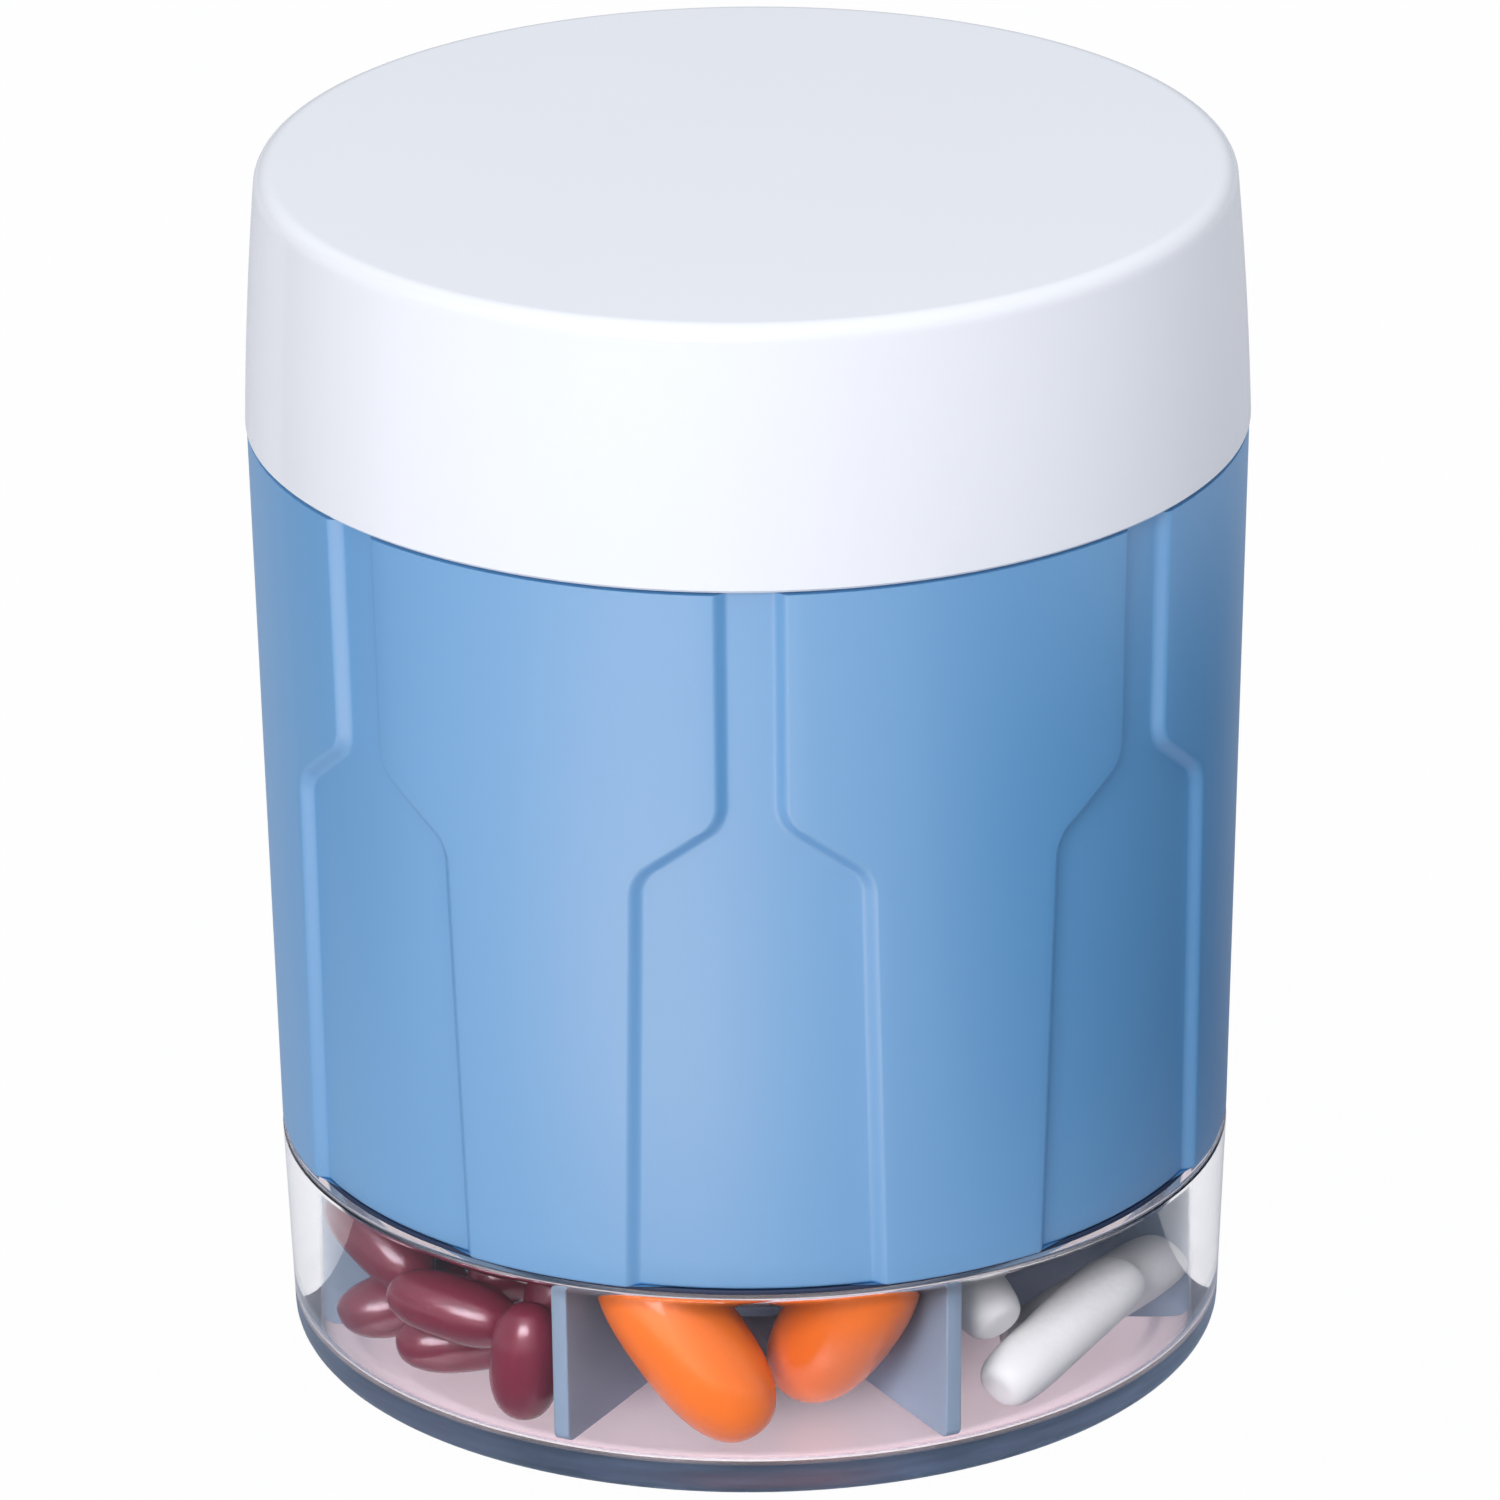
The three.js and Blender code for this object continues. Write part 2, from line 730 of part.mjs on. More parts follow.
// Where each pill lies: turn about the part's axis, inset from the base's bore and rise from the floor as
// shares of the pill's length, heading from the outward direction, and tilt up from the floor, in degrees.
const pillKinds = {
  large: {
    length: baseBore * largeGelLengthShare,
    girthShare: largeGelGirthShare,
    power: gelPower,
    kind: "orangeGel",
  },
  small: {
    length: baseBore * smallGelLengthShare,
    girthShare: smallGelGirthShare,
    power: gelPower,
    kind: "burgundyGel",
  },
  caplet: {
    length: baseBore * capletLengthShare,
    girthShare: capletGirthShare,
    power: capletPower,
    kind: "whiteCoat",
  },
};
const pillPlaceShares = [
  { name: "large_softgel_1", size: "large", turn: -10.4, inset: 0.246, rise: 0.458, heading: -95, tilt: 55 },
  { name: "large_softgel_2", size: "large", turn: 14, inset: 0.386, rise: 0.466, heading: 24, tilt: 52 },
  { name: "small_softgel_1", size: "small", turn: -69.9, inset: 0.552, rise: 0.351, heading: 178, tilt: 15 },
  { name: "small_softgel_2", size: "small", turn: -50.1, inset: 1.144, rise: 0.878, heading: 171, tilt: 12 },
  { name: "small_softgel_3", size: "small", turn: -48.5, inset: 0.376, rise: 0.711, heading: -63, tilt: 10 },
  { name: "small_softgel_4", size: "small", turn: -53.8, inset: 0.651, rise: 0.292, heading: 156, tilt: 3 },
  { name: "small_softgel_5", size: "small", turn: -33.7, inset: 0.284, rise: 0.523, heading: -105, tilt: 97 },
  { name: "small_softgel_6", size: "small", turn: -37.2, inset: 0.954, rise: 0.919, heading: -169, tilt: 67 },
  { name: "small_softgel_7", size: "small", turn: -67.9, inset: 0.348, rise: 0.939, heading: -64, tilt: 36 },
  { name: "caplet_1", size: "caplet", turn: 47.7, inset: 0.21, rise: 0.337, heading: 88, tilt: 22 },
  { name: "caplet_2", size: "caplet", turn: 35.9, inset: 0.636, rise: 0.754, heading: -178, tilt: 32 },
  { name: "caplet_3", size: "caplet", turn: 62.8, inset: 0.37, rise: 0.28, heading: 61, tilt: 17 },
];

function pill({ name, size, turn, inset, rise, heading, tilt }) {
  const { length, girthShare, power, kind } = pillKinds[size];
  const mesh = piece(name, pillGeometry(length, girthShare, power), kind);
  const spot = polar(baseBore - inset * length, THREE.MathUtils.degToRad(turn));
  const course = THREE.MathUtils.degToRad(turn - 90 + heading);
  const climb = THREE.MathUtils.degToRad(tilt);
  const axis = new THREE.Vector3(
    Math.cos(climb) * Math.cos(course),
    Math.cos(climb) * Math.sin(course),
    Math.sin(climb),
  );
  mesh.position.set(spot.x, spot.y, floorThickness + rise * length);
  mesh.quaternion.setFromUnitVectors(new THREE.Vector3(0, 0, 1), axis);
  return mesh;
}

const organizer = new THREE.Group();
organizer.add(baseCup(), baseSeal(), outerShell(), dividerCore());
organizer.add(pivotBush(), pivotScrew(), selectorDisc(), pivotCap());
organizer.add(lidShell(), lidLiner(), lidSeal());
pillPlaceShares.forEach((place) => organizer.add(pill(place)));

export default organizer;
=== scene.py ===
"""Round pill organizer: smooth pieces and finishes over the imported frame."""

from __future__ import annotations

import logging
import math
from dataclasses import dataclass
from enum import Enum
from typing import Callable, Iterable, Sequence

import bmesh
import bpy
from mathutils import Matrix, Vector


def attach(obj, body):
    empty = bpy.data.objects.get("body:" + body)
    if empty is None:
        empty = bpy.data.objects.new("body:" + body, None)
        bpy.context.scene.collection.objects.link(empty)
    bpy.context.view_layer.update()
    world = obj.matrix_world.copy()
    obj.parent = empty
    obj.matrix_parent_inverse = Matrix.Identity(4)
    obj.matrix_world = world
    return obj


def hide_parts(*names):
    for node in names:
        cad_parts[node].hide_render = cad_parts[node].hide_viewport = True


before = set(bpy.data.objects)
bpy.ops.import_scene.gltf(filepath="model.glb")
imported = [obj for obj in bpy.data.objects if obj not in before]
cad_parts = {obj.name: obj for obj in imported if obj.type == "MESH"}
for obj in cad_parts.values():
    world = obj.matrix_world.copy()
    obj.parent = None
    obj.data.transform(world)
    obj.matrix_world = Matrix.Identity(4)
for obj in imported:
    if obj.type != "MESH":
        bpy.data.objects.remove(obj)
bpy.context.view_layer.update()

LOG = logging.getLogger("pill_organizer")
MM = 0.001
COMPARTMENTS = 7
PITCH = 2 * math.pi / COMPARTMENTS
FINE_COUNT = 168
SMALL_COUNT = 64
ROUNDING_STEPS = 3
LEAST_RADIUS = 1e-4
NEAR = 0.1  # millimetres within which a vertex lies at a limit
ALONG = 0.9  # least share of a normal along the axis that its face looks along

VALUE = "NodeSocketFloat"
VECTOR = "NodeSocketVector"
COLOUR = "NodeSocketColor"
WHITE = (1, 1, 1, 1)
BLACK = (0, 0, 0, 1)

Colour = tuple[float, float, float]
Ring = tuple[float, float]
Corner = tuple[float, float, float]
Corners = tuple[tuple[Corner, ...], ...]
Piece = bpy.types.Object
Tree = bpy.types.NodeTree
Node = bpy.types.Node
Socket = bpy.types.NodeSocket


class Body(Enum):
    """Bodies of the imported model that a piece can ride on."""

    ORGANIZER = "organizer"
    SELECTOR = "selector"
    LID = "lid"


class Close(Enum):
    """How the first and the last ring of a turned piece are closed."""

    CAPS = "both ends run to the axis"
    RING = "the last ring joins the first"


def deselect_all() -> None:
    """Leave edit mode and deselect every object."""
    if bpy.context.object and bpy.context.object.mode != "OBJECT":
        bpy.ops.object.mode_set(mode="OBJECT")
    bpy.ops.object.select_all(action="DESELECT")


def activate(piece: Piece) -> None:
    """Select one object alone and make it the active one."""
    deselect_all()
    piece.select_set(True)
    bpy.context.view_layer.objects.active = piece


def edit(piece: Piece) -> None:
    """Enter edit mode on a piece with nothing selected."""
    activate(piece)
    bpy.ops.object.mode_set(mode="EDIT")
    bpy.ops.mesh.select_all(action="DESELECT")


def leave_edit() -> None:
    """Go back to object mode."""
    bpy.ops.object.mode_set(mode="OBJECT")


def new_piece(name: str) -> Piece:
    """Name the primitive that was just added and return it."""
    piece = bpy.context.object
    piece.name = piece.data.name = name
    return piece


def select_where(
    piece: Piece,
    kind: str,
    wanted: Callable[[bmesh.types.BMVert | bmesh.types.BMEdge | bmesh.types.BMFace], bool],
) -> None:
    """Select vertices, edges or faces of the edit mesh by a test.

    Args:
        piece: The object in edit mode.
        kind: One of VERT, EDGE and FACE.
        wanted: The test that a chosen element passes.
    """
    bpy.ops.mesh.select_all(action="DESELECT")
    bpy.ops.mesh.select_mode(type=kind)
    mesh = bmesh.from_edit_mesh(piece.data)
    for element in {"VERT": mesh.verts, "EDGE": mesh.edges, "FACE": mesh.faces}[kind]:
        if wanted(element):
            element.select_set(True)
    mesh.select_flush_mode()
    bmesh.update_edit_mesh(piece.data)


def point_outwards() -> None:
    """Turn every face of the edit mesh outwards."""
    bpy.ops.mesh.select_all(action="SELECT")
    bpy.ops.mesh.normals_make_consistent(inside=False)


def place_selected(piece: Piece, radius: float, height: float) -> None:
    """Put the selected ring of vertices at a radius and height, keeping each one's azimuth.

    Args:
        piece: The object in edit mode.
        radius: New distance from the Z axis, in millimetres.
        height: New height, in millimetres.
    """
    mesh = bmesh.from_edit_mesh(piece.data)
    for vertex in mesh.verts:
        if vertex.select:
            flat = Vector((vertex.co.x, vertex.co.y))
            flat.length = max(radius, LEAST_RADIUS) * MM
            vertex.co = Vector((flat.x, flat.y, height * MM))
    bmesh.update_edit_mesh(piece.data)


def grow_rings(piece: Piece, rings: Iterable[Ring]) -> None:
    """Extrude the selected edge ring through a row of radius and height pairs.

    Args:
        piece: The object in edit mode, with one edge ring selected.
        rings: Radius and height of each new ring, in millimetres.
    """
    for radius, height in rings:
        bpy.ops.mesh.extrude_region_move()
        place_selected(piece, radius, height)


def extrude(x: float, y: float, z: float) -> None:
    """Extrude what is selected by an offset in millimetres."""
    offset = (x * MM, y * MM, z * MM)
    bpy.ops.mesh.extrude_region_move(TRANSFORM_OT_translate={"value": offset})


def arc(centre: Ring, radius: float, start: float, end: float, steps: int) -> list[Ring]:
    """List the rings of a round edge.

    Args:
        centre: Radius and height of the rounding's centre, in millimetres.
        radius: Radius of the rounding.
        start: Angle of the first ring above the level, in degrees.
        end: Angle of the last ring.
        steps: Number of steps between them.

    Returns:
        Radius and height of each ring.
    """
    angles = [math.radians(start + (end - start) * i / steps) for i in range(steps + 1)]
    return [(centre[0] + radius * math.cos(a), centre[1] + radius * math.sin(a)) for a in angles]


def rotated(arrow: Vector, angle: float) -> Vector:
    """Turn a flat vector by an angle in radians."""
    cosine, sine = math.cos(angle), math.sin(angle)
    return Vector((arrow.x * cosine - arrow.y * sine, arrow.x * sine + arrow.y * cosine))


def with_support(rings: Sequence[Ring], margin: float = 0.3, longest: float = 6.0) -> list[Ring]:
    """Add rings near both ends of every long stretch, so that smooth shading keeps it straight.

    Args:
        rings: Radius and height of each ring, in millimetres.
        margin: Distance of an added ring from the end of its stretch.
        longest: Longest stretch that is left without a ring.

    Returns:
        The rings with the added ones between them.
    """
    result = [rings[0]]
    for (r0, z0), (r1, z1) in zip(rings, rings[1:]):
        length = math.hypot(r1 - r0, z1 - z0)
        if length > 4 * margin:
            inner = length - 2 * margin
            count = max(1, math.ceil(inner / longest))
            for i in range(count + 1):
                share = (margin + inner * i / count) / length
                result.append((r0 + (r1 - r0) * share, z0 + (z1 - z0) * share))
        result.append((r1, z1))
    return result


def turned(name: str, rings: Sequence[Ring], close: Close, count: int = FINE_COUNT) -> Piece:
    """Model a body of revolution from a circle that is extruded ring by ring.

    Args:
        name: Name of the new piece.
        rings: Radius and height of each ring, in millimetres.
        close: How the ends are closed.
        count: Number of vertices in a ring.

    Returns:
        The new object, with its faces pointing outwards.
    """
    deselect_all()
    bpy.ops.mesh.primitive_circle_add(vertices=count, radius=rings[0][0] * MM)
    piece = new_piece(name)
    edit(piece)
    bpy.ops.mesh.select_all(action="SELECT")
    place_selected(piece, *rings[0])
    first = {vertex.index for vertex in bmesh.from_edit_mesh(piece.data).verts}
    grow_rings(piece, rings[1:])
    if close is Close.CAPS:
        bpy.ops.mesh.edge_face_add()
        select_where(piece, "VERT", lambda vertex: vertex.index in first)
        bpy.ops.mesh.edge_face_add()
    else:
        last = {v.index for v in bmesh.from_edit_mesh(piece.data).verts if v.select}
        select_where(
            piece,
            "EDGE",
            lambda edge: any({v.index for v in edge.verts} <= end for end in (first, last)),
        )
        bpy.ops.mesh.bridge_edge_loops()
    point_outwards()
    leave_edit()
    return piece


def apply_modifier(piece: Piece, kind: str, **values: object) -> None:
    """Add a modifier with its values and apply it.

    Args:
        piece: The object that gets the modifier.
        kind: Blender's name of the modifier type.
        **values: Properties of the modifier.
    """
    activate(piece)
    modifier = piece.modifiers.new(kind.title(), kind)
    for key, value in values.items():
        setattr(modifier, key, value)
    bpy.ops.object.modifier_apply(modifier=modifier.name)


def round_edges(piece: Piece, width: float, angle: float = 30) -> None:
    """Round every edge sharper than an angle.

    Args:
        piece: The object to round.
        width: Width of the rounding, in millimetres.
        angle: Smallest angle that counts as an edge, in degrees.
    """
    apply_modifier(
        piece,
        "BEVEL",
        width=width * MM,
        segments=ROUNDING_STEPS,
        limit_method="ANGLE",
        angle_limit=math.radians(angle),
        use_clamp_overlap=True,
    )


def combine(piece: Piece, tool: Piece, operation: str) -> None:
    """Cut or join one solid with another and delete the tool.

    Args:
        piece: The object that stays.
        tool: The object that cuts or joins.
        operation: DIFFERENCE or UNION.
    """
    apply_modifier(piece, "BOOLEAN", object=tool, operation=operation, solver="EXACT")
    bpy.data.objects.remove(tool, do_unlink=True)


def smooth(piece: Piece, angle: float = 35) -> None:
    """Shade smooth up to an angle in degrees."""
    activate(piece)
    bpy.ops.object.shade_smooth_by_angle(angle=math.radians(angle))


def block(name: str, low: Sequence[float], high: Sequence[float]) -> Piece:
    """Add a cube between two corners, in millimetres, to be shaped further.

    Args:
        name: Name of the new object.
        low: Lowest corner.
        high: Highest corner.

    Returns:
        The new object.
    """
    deselect_all()
    middle = [(a + b) / 2 * MM for a, b in zip(low, high)]
    size = [(b - a) * MM for a, b in zip(low, high)]
    bpy.ops.mesh.primitive_cube_add(size=1, location=middle, scale=size)
    piece = new_piece(name)
    bpy.ops.object.transform_apply(location=True, rotation=True, scale=True)
    return piece


def settle(piece: Piece, body: Body, finish: "Finish", *nodes: str) -> None:
    """Dress a finished piece, let it stand for CAD nodes and put it on its body.

    Args:
        piece: The finished object.
        body: The body that carries it.
        finish: Its finish.
        *nodes: The CAD nodes that it stands for.
    """
    activate(piece)
    bpy.ops.object.transform_apply(location=True, rotation=True, scale=True)
    piece.data.materials.clear()
    piece.data.materials.append(finish.material())
    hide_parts(*nodes)
    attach(piece, body.value)
    LOG.info("%s rides on %s with %d faces", piece.name, body.value, len(piece.data.polygons))


def round_and_settle(piece: Piece, width: float, body: Body, finish: "Finish", node: str) -> None:
    """Round the edges of a piece, shade it smooth and settle it for one CAD node.

    Args:
        piece: The object to finish.
        width: Width of the rounding, in millimetres.
        body: The body that carries it.
        finish: Its finish.
        node: The CAD node that it stands for.
    """
    round_edges(piece, width)
    smooth(piece)
    settle(piece, body, finish, node)


def connect(tree: Tree, socket: Socket, source: object) -> None:
    """Link an input to the socket that feeds it, or give it a value."""
    if isinstance(source, Socket):
        tree.links.new(source, socket)
    else:
        socket.default_value = source


def feed(tree: Tree, node: Node, **sources: object) -> None:
    """Feed the named inputs of a node.

    Args:
        tree: The node tree.
        node: The node whose inputs are fed.
        **sources: A socket or a value for each input, named with underscores for spaces.
    """
    for key, source in sources.items():
        connect(tree, node.inputs[key.replace("_", " ")], source)


def add_node(tree: Tree, kind: str, *inputs: object, **values: object) -> Node:
    """Add a shader node, set its properties and feed its inputs.

    Args:
        tree: The node tree.
        kind: Blender's name of the node type, after ShaderNode.
        *inputs: A socket or a value for each of the first inputs.
        **values: Properties, which come first, and then inputs as for feed.

    Returns:
        The new node.
    """
    node = tree.nodes.new("ShaderNode" + kind)
    for key, value in values.items():
        if hasattr(node, key):
            setattr(node, key, value)
        else:
            feed(tree, node, **{key: value})
    for socket, source in zip(node.inputs, inputs):
        connect(tree, socket, source)
    return node


def compute(tree: Tree, operation: str, first: object, second: object) -> Socket:
    """Add a Math node on two sockets or values and return its result."""
    return add_node(tree, "Math", first, second, operation=operation).outputs[0]


def noise(tree: Tree, place: Socket, scale: Socket, detail: float) -> Socket:
    """Add a noise texture and return its value."""
    return add_node(tree, "TexNoise", Vector=place, Scale=scale, Detail=detail).outputs["Fac"]


def blend(
    tree: Tree,
    factor: object,
    first: object,
    second: object,
    data_type: str = "RGBA",
    blend_type: str = "MIX",
) -> Socket:
    """Add a Mix node.

    Args:
        tree: The node tree.
        factor: How much of the second input is taken.
        first: A socket or a value.
        second: A socket or a value.
        data_type: RGBA or FLOAT.
        blend_type: How colours are mixed.

    Returns:
        The mixed colour or value.
    """
    mix = add_node(tree, "Mix", data_type=data_type, blend_type=blend_type)
    feed(tree, mix, Factor=factor, A=first, B=second)
    return mix.outputs["Result"]


def new_material(name: str) -> tuple[bpy.types.Material, Tree]:
    """Start a material with nodes and return it with its tree."""
    material = bpy.data.materials.new(name)
    material.use_nodes = True
    return material, material.node_tree


def show_surface(tree: Tree, shader: Socket) -> None:
    """Let a material show what a shader puts out."""
    feed(tree, tree.nodes["Material Output"], Surface=shader)


def new_group(
    name: str, output: tuple[str, str], *inputs: tuple[str, str, object]
) -> tuple[Tree, bpy.types.NodeOutputs, Socket]:
    """Start a shader node group.

    Args:
        name: Name of the group.
        output: Name and socket type of the output.
        *inputs: Name, socket type and default value of each input.

    Returns:
        The group, the sockets that it is given and the socket that it puts out.
    """
    group = bpy.data.node_groups.new(name, "ShaderNodeTree")
    for label, kind, default in inputs:
        socket = group.interface.new_socket(name=label, in_out="INPUT", socket_type=kind)
        socket.default_value = default
    group.interface.new_socket(name=output[0], in_out="OUTPUT", socket_type=output[1])
    given = group.nodes.new("NodeGroupInput").outputs
    return group, given, group.nodes.new("NodeGroupOutput").inputs[0]


class SharedEffects:
    """Node groups that more than one finish places with its own values."""

    _groups: dict[str, Tree] = {}

    @classmethod
    def place(cls, tree: Tree, name: str, **values: object) -> Socket:
        """Place a group, built once, in a material with its own values.

        Args:
            tree: The node tree of the material.
            name: Name of the group.
            **values: A socket or a value for each input, as for feed.

        Returns:
            What the group puts out.
        """
        if name not in cls._groups:
            cls._groups[name] = getattr(cls, "_build_" + name)()
        return add_node(tree, "Group", node_tree=cls._groups[name], **values).outputs[0]

    @staticmethod
    def _build_grain() -> Tree:
        """Moulded surface: fine grain and long soft waves as a height."""
        group, given, height = new_group(
            "grain",
            ("Height", VALUE),
            ("Vector", VECTOR, (0, 0, 0)),
            ("Grain Scale", VALUE, 3000.0),
            ("Wave Scale", VALUE, 40.0),
            ("Wave Share", VALUE, 0.5),
        )
        grain = noise(group, given["Vector"], given["Grain Scale"], 2.0)
        waves = noise(group, given["Vector"], given["Wave Scale"], 1.0)
        connect(group, height, blend(group, given["Wave Share"], grain, waves, "FLOAT"))
        return group

    @staticmethod
    def _build_mottle() -> Tree:
        """Slow change between two near colours."""
        group, given, colour = new_group(
            "mottle",
            ("Color", COLOUR),
            ("Vector", VECTOR, (0, 0, 0)),
            ("Scale", VALUE, 30.0),
            ("Light", COLOUR, WHITE),
            ("Dark", COLOUR, (0.5, 0.5, 0.5, 1)),
        )
        patches = noise(group, given["Vector"], given["Scale"], 3.0)
        connect(group, colour, blend(group, patches, given["Dark"], given["Light"]))
        return group

    @staticmethod
    def _build_sheen_patches() -> Tree:
        """Roughness that wanders between two values, as handling leaves it."""
        group, given, value = new_group(
            "sheen_patches",
            ("Value", VALUE),
            ("Vector", VECTOR, (0, 0, 0)),
            ("Scale", VALUE, 25.0),
            ("Low", VALUE, 0.2),
            ("High", VALUE, 0.3),
        )
        patches = noise(group, given["Vector"], given["Scale"], 2.0)
        spread = add_node(
            group, "MapRange", Value=patches, To_Min=given["Low"], To_Max=given["High"]
        )
        connect(group, value, spread.outputs["Result"])
        return group


@dataclass(frozen=True)
class Finish:
    """A surface finish, with the name of a material slot that this script does not read."""

    name: str
    slot: str
    light: Colour
    dark: Colour
    roughness: tuple[float, float] = (0.3, 0.4)
    mottle_scale: float = 35.0
    grain_scale: float = 2500.0
    grain_height: float = 0.01
    wave_share: float = 0.3
    gloss: float = 0.5
    refraction: float = 1.5

    def material(self) -> bpy.types.Material:
        """Return the material of this finish, built once."""
        return bpy.data.materials.get(self.name) or self._build()

    def _build(self) -> bpy.types.Material:
        """Build the material with its varying colour, roughness and relief.

        Returns:
            The new material.
        """
        material, tree = new_material(self.name)
        shader = tree.nodes["Principled BSDF"]
        place = add_node(tree, "TexCoord").outputs["Object"]
        colour = SharedEffects.place(
            tree, "mottle", Vector=place, Scale=self.mottle_scale,
            Light=(*self.light, 1), Dark=(*self.dark, 1),
        )
        patches = SharedEffects.place(
            tree, "sheen_patches", Vector=place, Low=self.roughness[0], High=self.roughness[1]
        )
        grain = SharedEffects.place(
            tree, "grain", Vector=place, Grain_Scale=self.grain_scale, Wave_Share=self.wave_share
        )
        bump = add_node(
            tree, "Bump", Distance=self.grain_height * MM, Strength=1.0, Height=grain
        )
        feed(
            tree, shader, Base_Color=colour, Roughness=patches, Normal=bump.outputs["Normal"],
            Specular_IOR_Level=self.gloss, IOR=self.refraction,
        )
        self._dress(tree, shader)
        return material

    def _dress(self, tree: Tree, shader: Node) -> None:
        """Set what is special to the kind of finish; a plain plastic adds nothing."""


@dataclass(frozen=True)
class CoatedFinish(Finish):
    """Plastic or gelatin with a clear gloss over its colour."""

    coat: float = 0.5
    coat_roughness: float = 0.08
    depth: float = 0.0
    depth_colour: Colour = (1.0, 0.2, 0.1)

    def _dress(self, tree: Tree, shader: Node) -> None:
        """Add the coat and the light that wanders under the surface."""
        feed(
            tree, shader, Coat_Weight=self.coat, Coat_Roughness=self.coat_roughness,
            Subsurface_Weight=self.depth, Subsurface_Radius=self.depth_colour,
            Subsurface_Scale=MM,
        )


@dataclass(frozen=True)
class MetalFinish(Finish):
    """Bare turned metal."""

    def _dress(self, tree: Tree, shader: Node) -> None:
        """Make the shader metallic."""
        feed(tree, shader, Metallic=1.0)


@dataclass(frozen=True)
class ClearFinish(Finish):
    """Polished clear plastic that lets the light of the lamp through, more of it than arrives.
    Its foot carries painted dark reflections in level streaks and a painted glow, and its floor a
    painted pink bounce light.
    """

    # Painted dark reflections in the foot's streaks, and a painted glow on the foot.
    painted_foot_dark_reflection: Colour = (0.01, 0.02, 0.05)
    painted_foot_light_reflection: Colour = (0.06, 0.115, 0.22)
    painted_foot_glow: Colour = (0.08, 0.24, 0.26)
    foot_height: float = 3.95
    foot_blend: float = 0.25
    foot_inside: float = 44.5
    streak_scale: float = 90.0
    streak_flatness: float = 12.0
    # Painted pink bounce light on the floor inside the foot.
    painted_floor_bounce: Colour = (1.0, 0.81, 0.86)
    mirror_share: float = 0.35
    light_passed: Colour = (1.35, 1.35, 1.37)
    foot_roughness: float = 0.35
    floor_roughness: float = 0.4

    def _low_mask(self, tree: Tree, place: Socket, side: str) -> Socket:
        """Mask what lies low: the thick foot outside a radius, or the floor inside it.

        Args:
            tree: The node tree of the material.
            place: Object coordinates.
            side: GREATER_THAN for the foot and LESS_THAN for the floor.

        Returns:
            One on the masked part and zero elsewhere.
        """
        height = add_node(tree, "SeparateXYZ", place).outputs["Z"]
        flat = add_node(tree, "VectorMath", place, (1, 1, 0), operation="MULTIPLY")
        reach = add_node(tree, "VectorMath", flat.outputs[0], operation="LENGTH")
        below = add_node(
            tree, "MapRange", interpolation_type="SMOOTHSTEP", Value=height,
            From_Min=(self.foot_height + self.foot_blend) * MM,
            From_Max=(self.foot_height - self.foot_blend) * MM,
        )
        beside = compute(tree, side, reach.outputs["Value"], self.foot_inside * MM)
        return compute(tree, "MULTIPLY", below.outputs["Result"], beside)

    def _paint_foot_and_floor_light(self, tree: Tree, shader: Node) -> None:
        """Paint dark reflections in level streaks and a glow on the foot, and a pink bounce light
        on the floor, all as painted light.

        Args:
            tree: The node tree of the material.
            shader: Its Principled shader.
        """
        place = add_node(tree, "TexCoord").outputs["Object"]
        stretch = add_node(tree, "Mapping", Vector=place, Scale=(1, 1, self.streak_flatness))
        # The streaks are painted dark reflections, lighter in places.
        streaks = SharedEffects.place(
            tree, "mottle", Vector=stretch.outputs["Vector"], Scale=self.streak_scale,
            Light=(*self.painted_foot_light_reflection, 1), Dark=(*self.painted_foot_dark_reflection, 1),
        )
        colour, roughness = (
            shader.inputs[name].links[0].from_socket for name in ("Base Color", "Roughness")
        )
        on_floor = self._low_mask(tree, place, "LESS_THAN")
        on_foot = self._low_mask(tree, place, "GREATER_THAN")
        # Painted pink bounce light on the floor.
        colour = blend(tree, on_floor, colour, (*self.painted_floor_bounce, 1))
        roughness = blend(tree, on_floor, roughness, self.floor_roughness, "FLOAT")
        # Painted glow on the foot, which is no lamp.
        glow = blend(tree, 1.0, streaks, (*self.painted_foot_glow, 1), blend_type="MULTIPLY")
        feed(
            tree,
            shader,
            Base_Color=blend(tree, on_foot, colour, streaks),
            Roughness=blend(tree, on_foot, roughness, self.foot_roughness, "FLOAT"),
            Emission_Color=blend(tree, on_foot, BLACK, glow),
            Emission_Strength=1.0,
        )

    def _dress(self, tree: Tree, shader: Node) -> None:
        """Make the shader refract, and let shadow rays pass.

        Args:
            tree: The node tree of the material.
            shader: Its Principled shader.
        """
        self._paint_foot_and_floor_light(tree, shader)
        tint = (self.mirror_share,) * 3 + (1,)
        feed(tree, shader, Transmission_Weight=1.0, Specular_Tint=tint)
        shadow = add_node(tree, "LightPath").outputs["Is Shadow Ray"]
        open_way = add_node(tree, "BsdfTransparent", Color=(*self.light_passed, 1)).outputs[0]
        mix = add_node(tree, "MixShader", shadow, shader.outputs["BSDF"], open_way)
        show_surface(tree, mix.outputs["Shader"])


LID_WHITE = CoatedFinish(
    "lid_white", "lid_plastic", (0.88, 0.89, 0.93), (0.86, 0.87, 0.91), (0.22, 0.27), coat=0.3
)
LINER_WHITE = Finish("liner_white", "liner_plastic", (0.82, 0.83, 0.87), (0.79, 0.8, 0.84))
CASING_BLUE = Finish(
    "casing_blue", "casing_plastic", (0.114, 0.35, 0.662), (0.107, 0.338, 0.646), (0.42, 0.48),
    grain_height=0.012, gloss=1.0, refraction=1.8,
)
DIVIDER_BLUE = Finish(
    "divider_blue", "divider_plastic", (0.255, 0.335, 0.43), (0.235, 0.315, 0.41), (0.35, 0.45)
)
DISC_WHITE = Finish("disc_white", "disc_plastic", (0.85, 0.86, 0.9), (0.82, 0.83, 0.87))
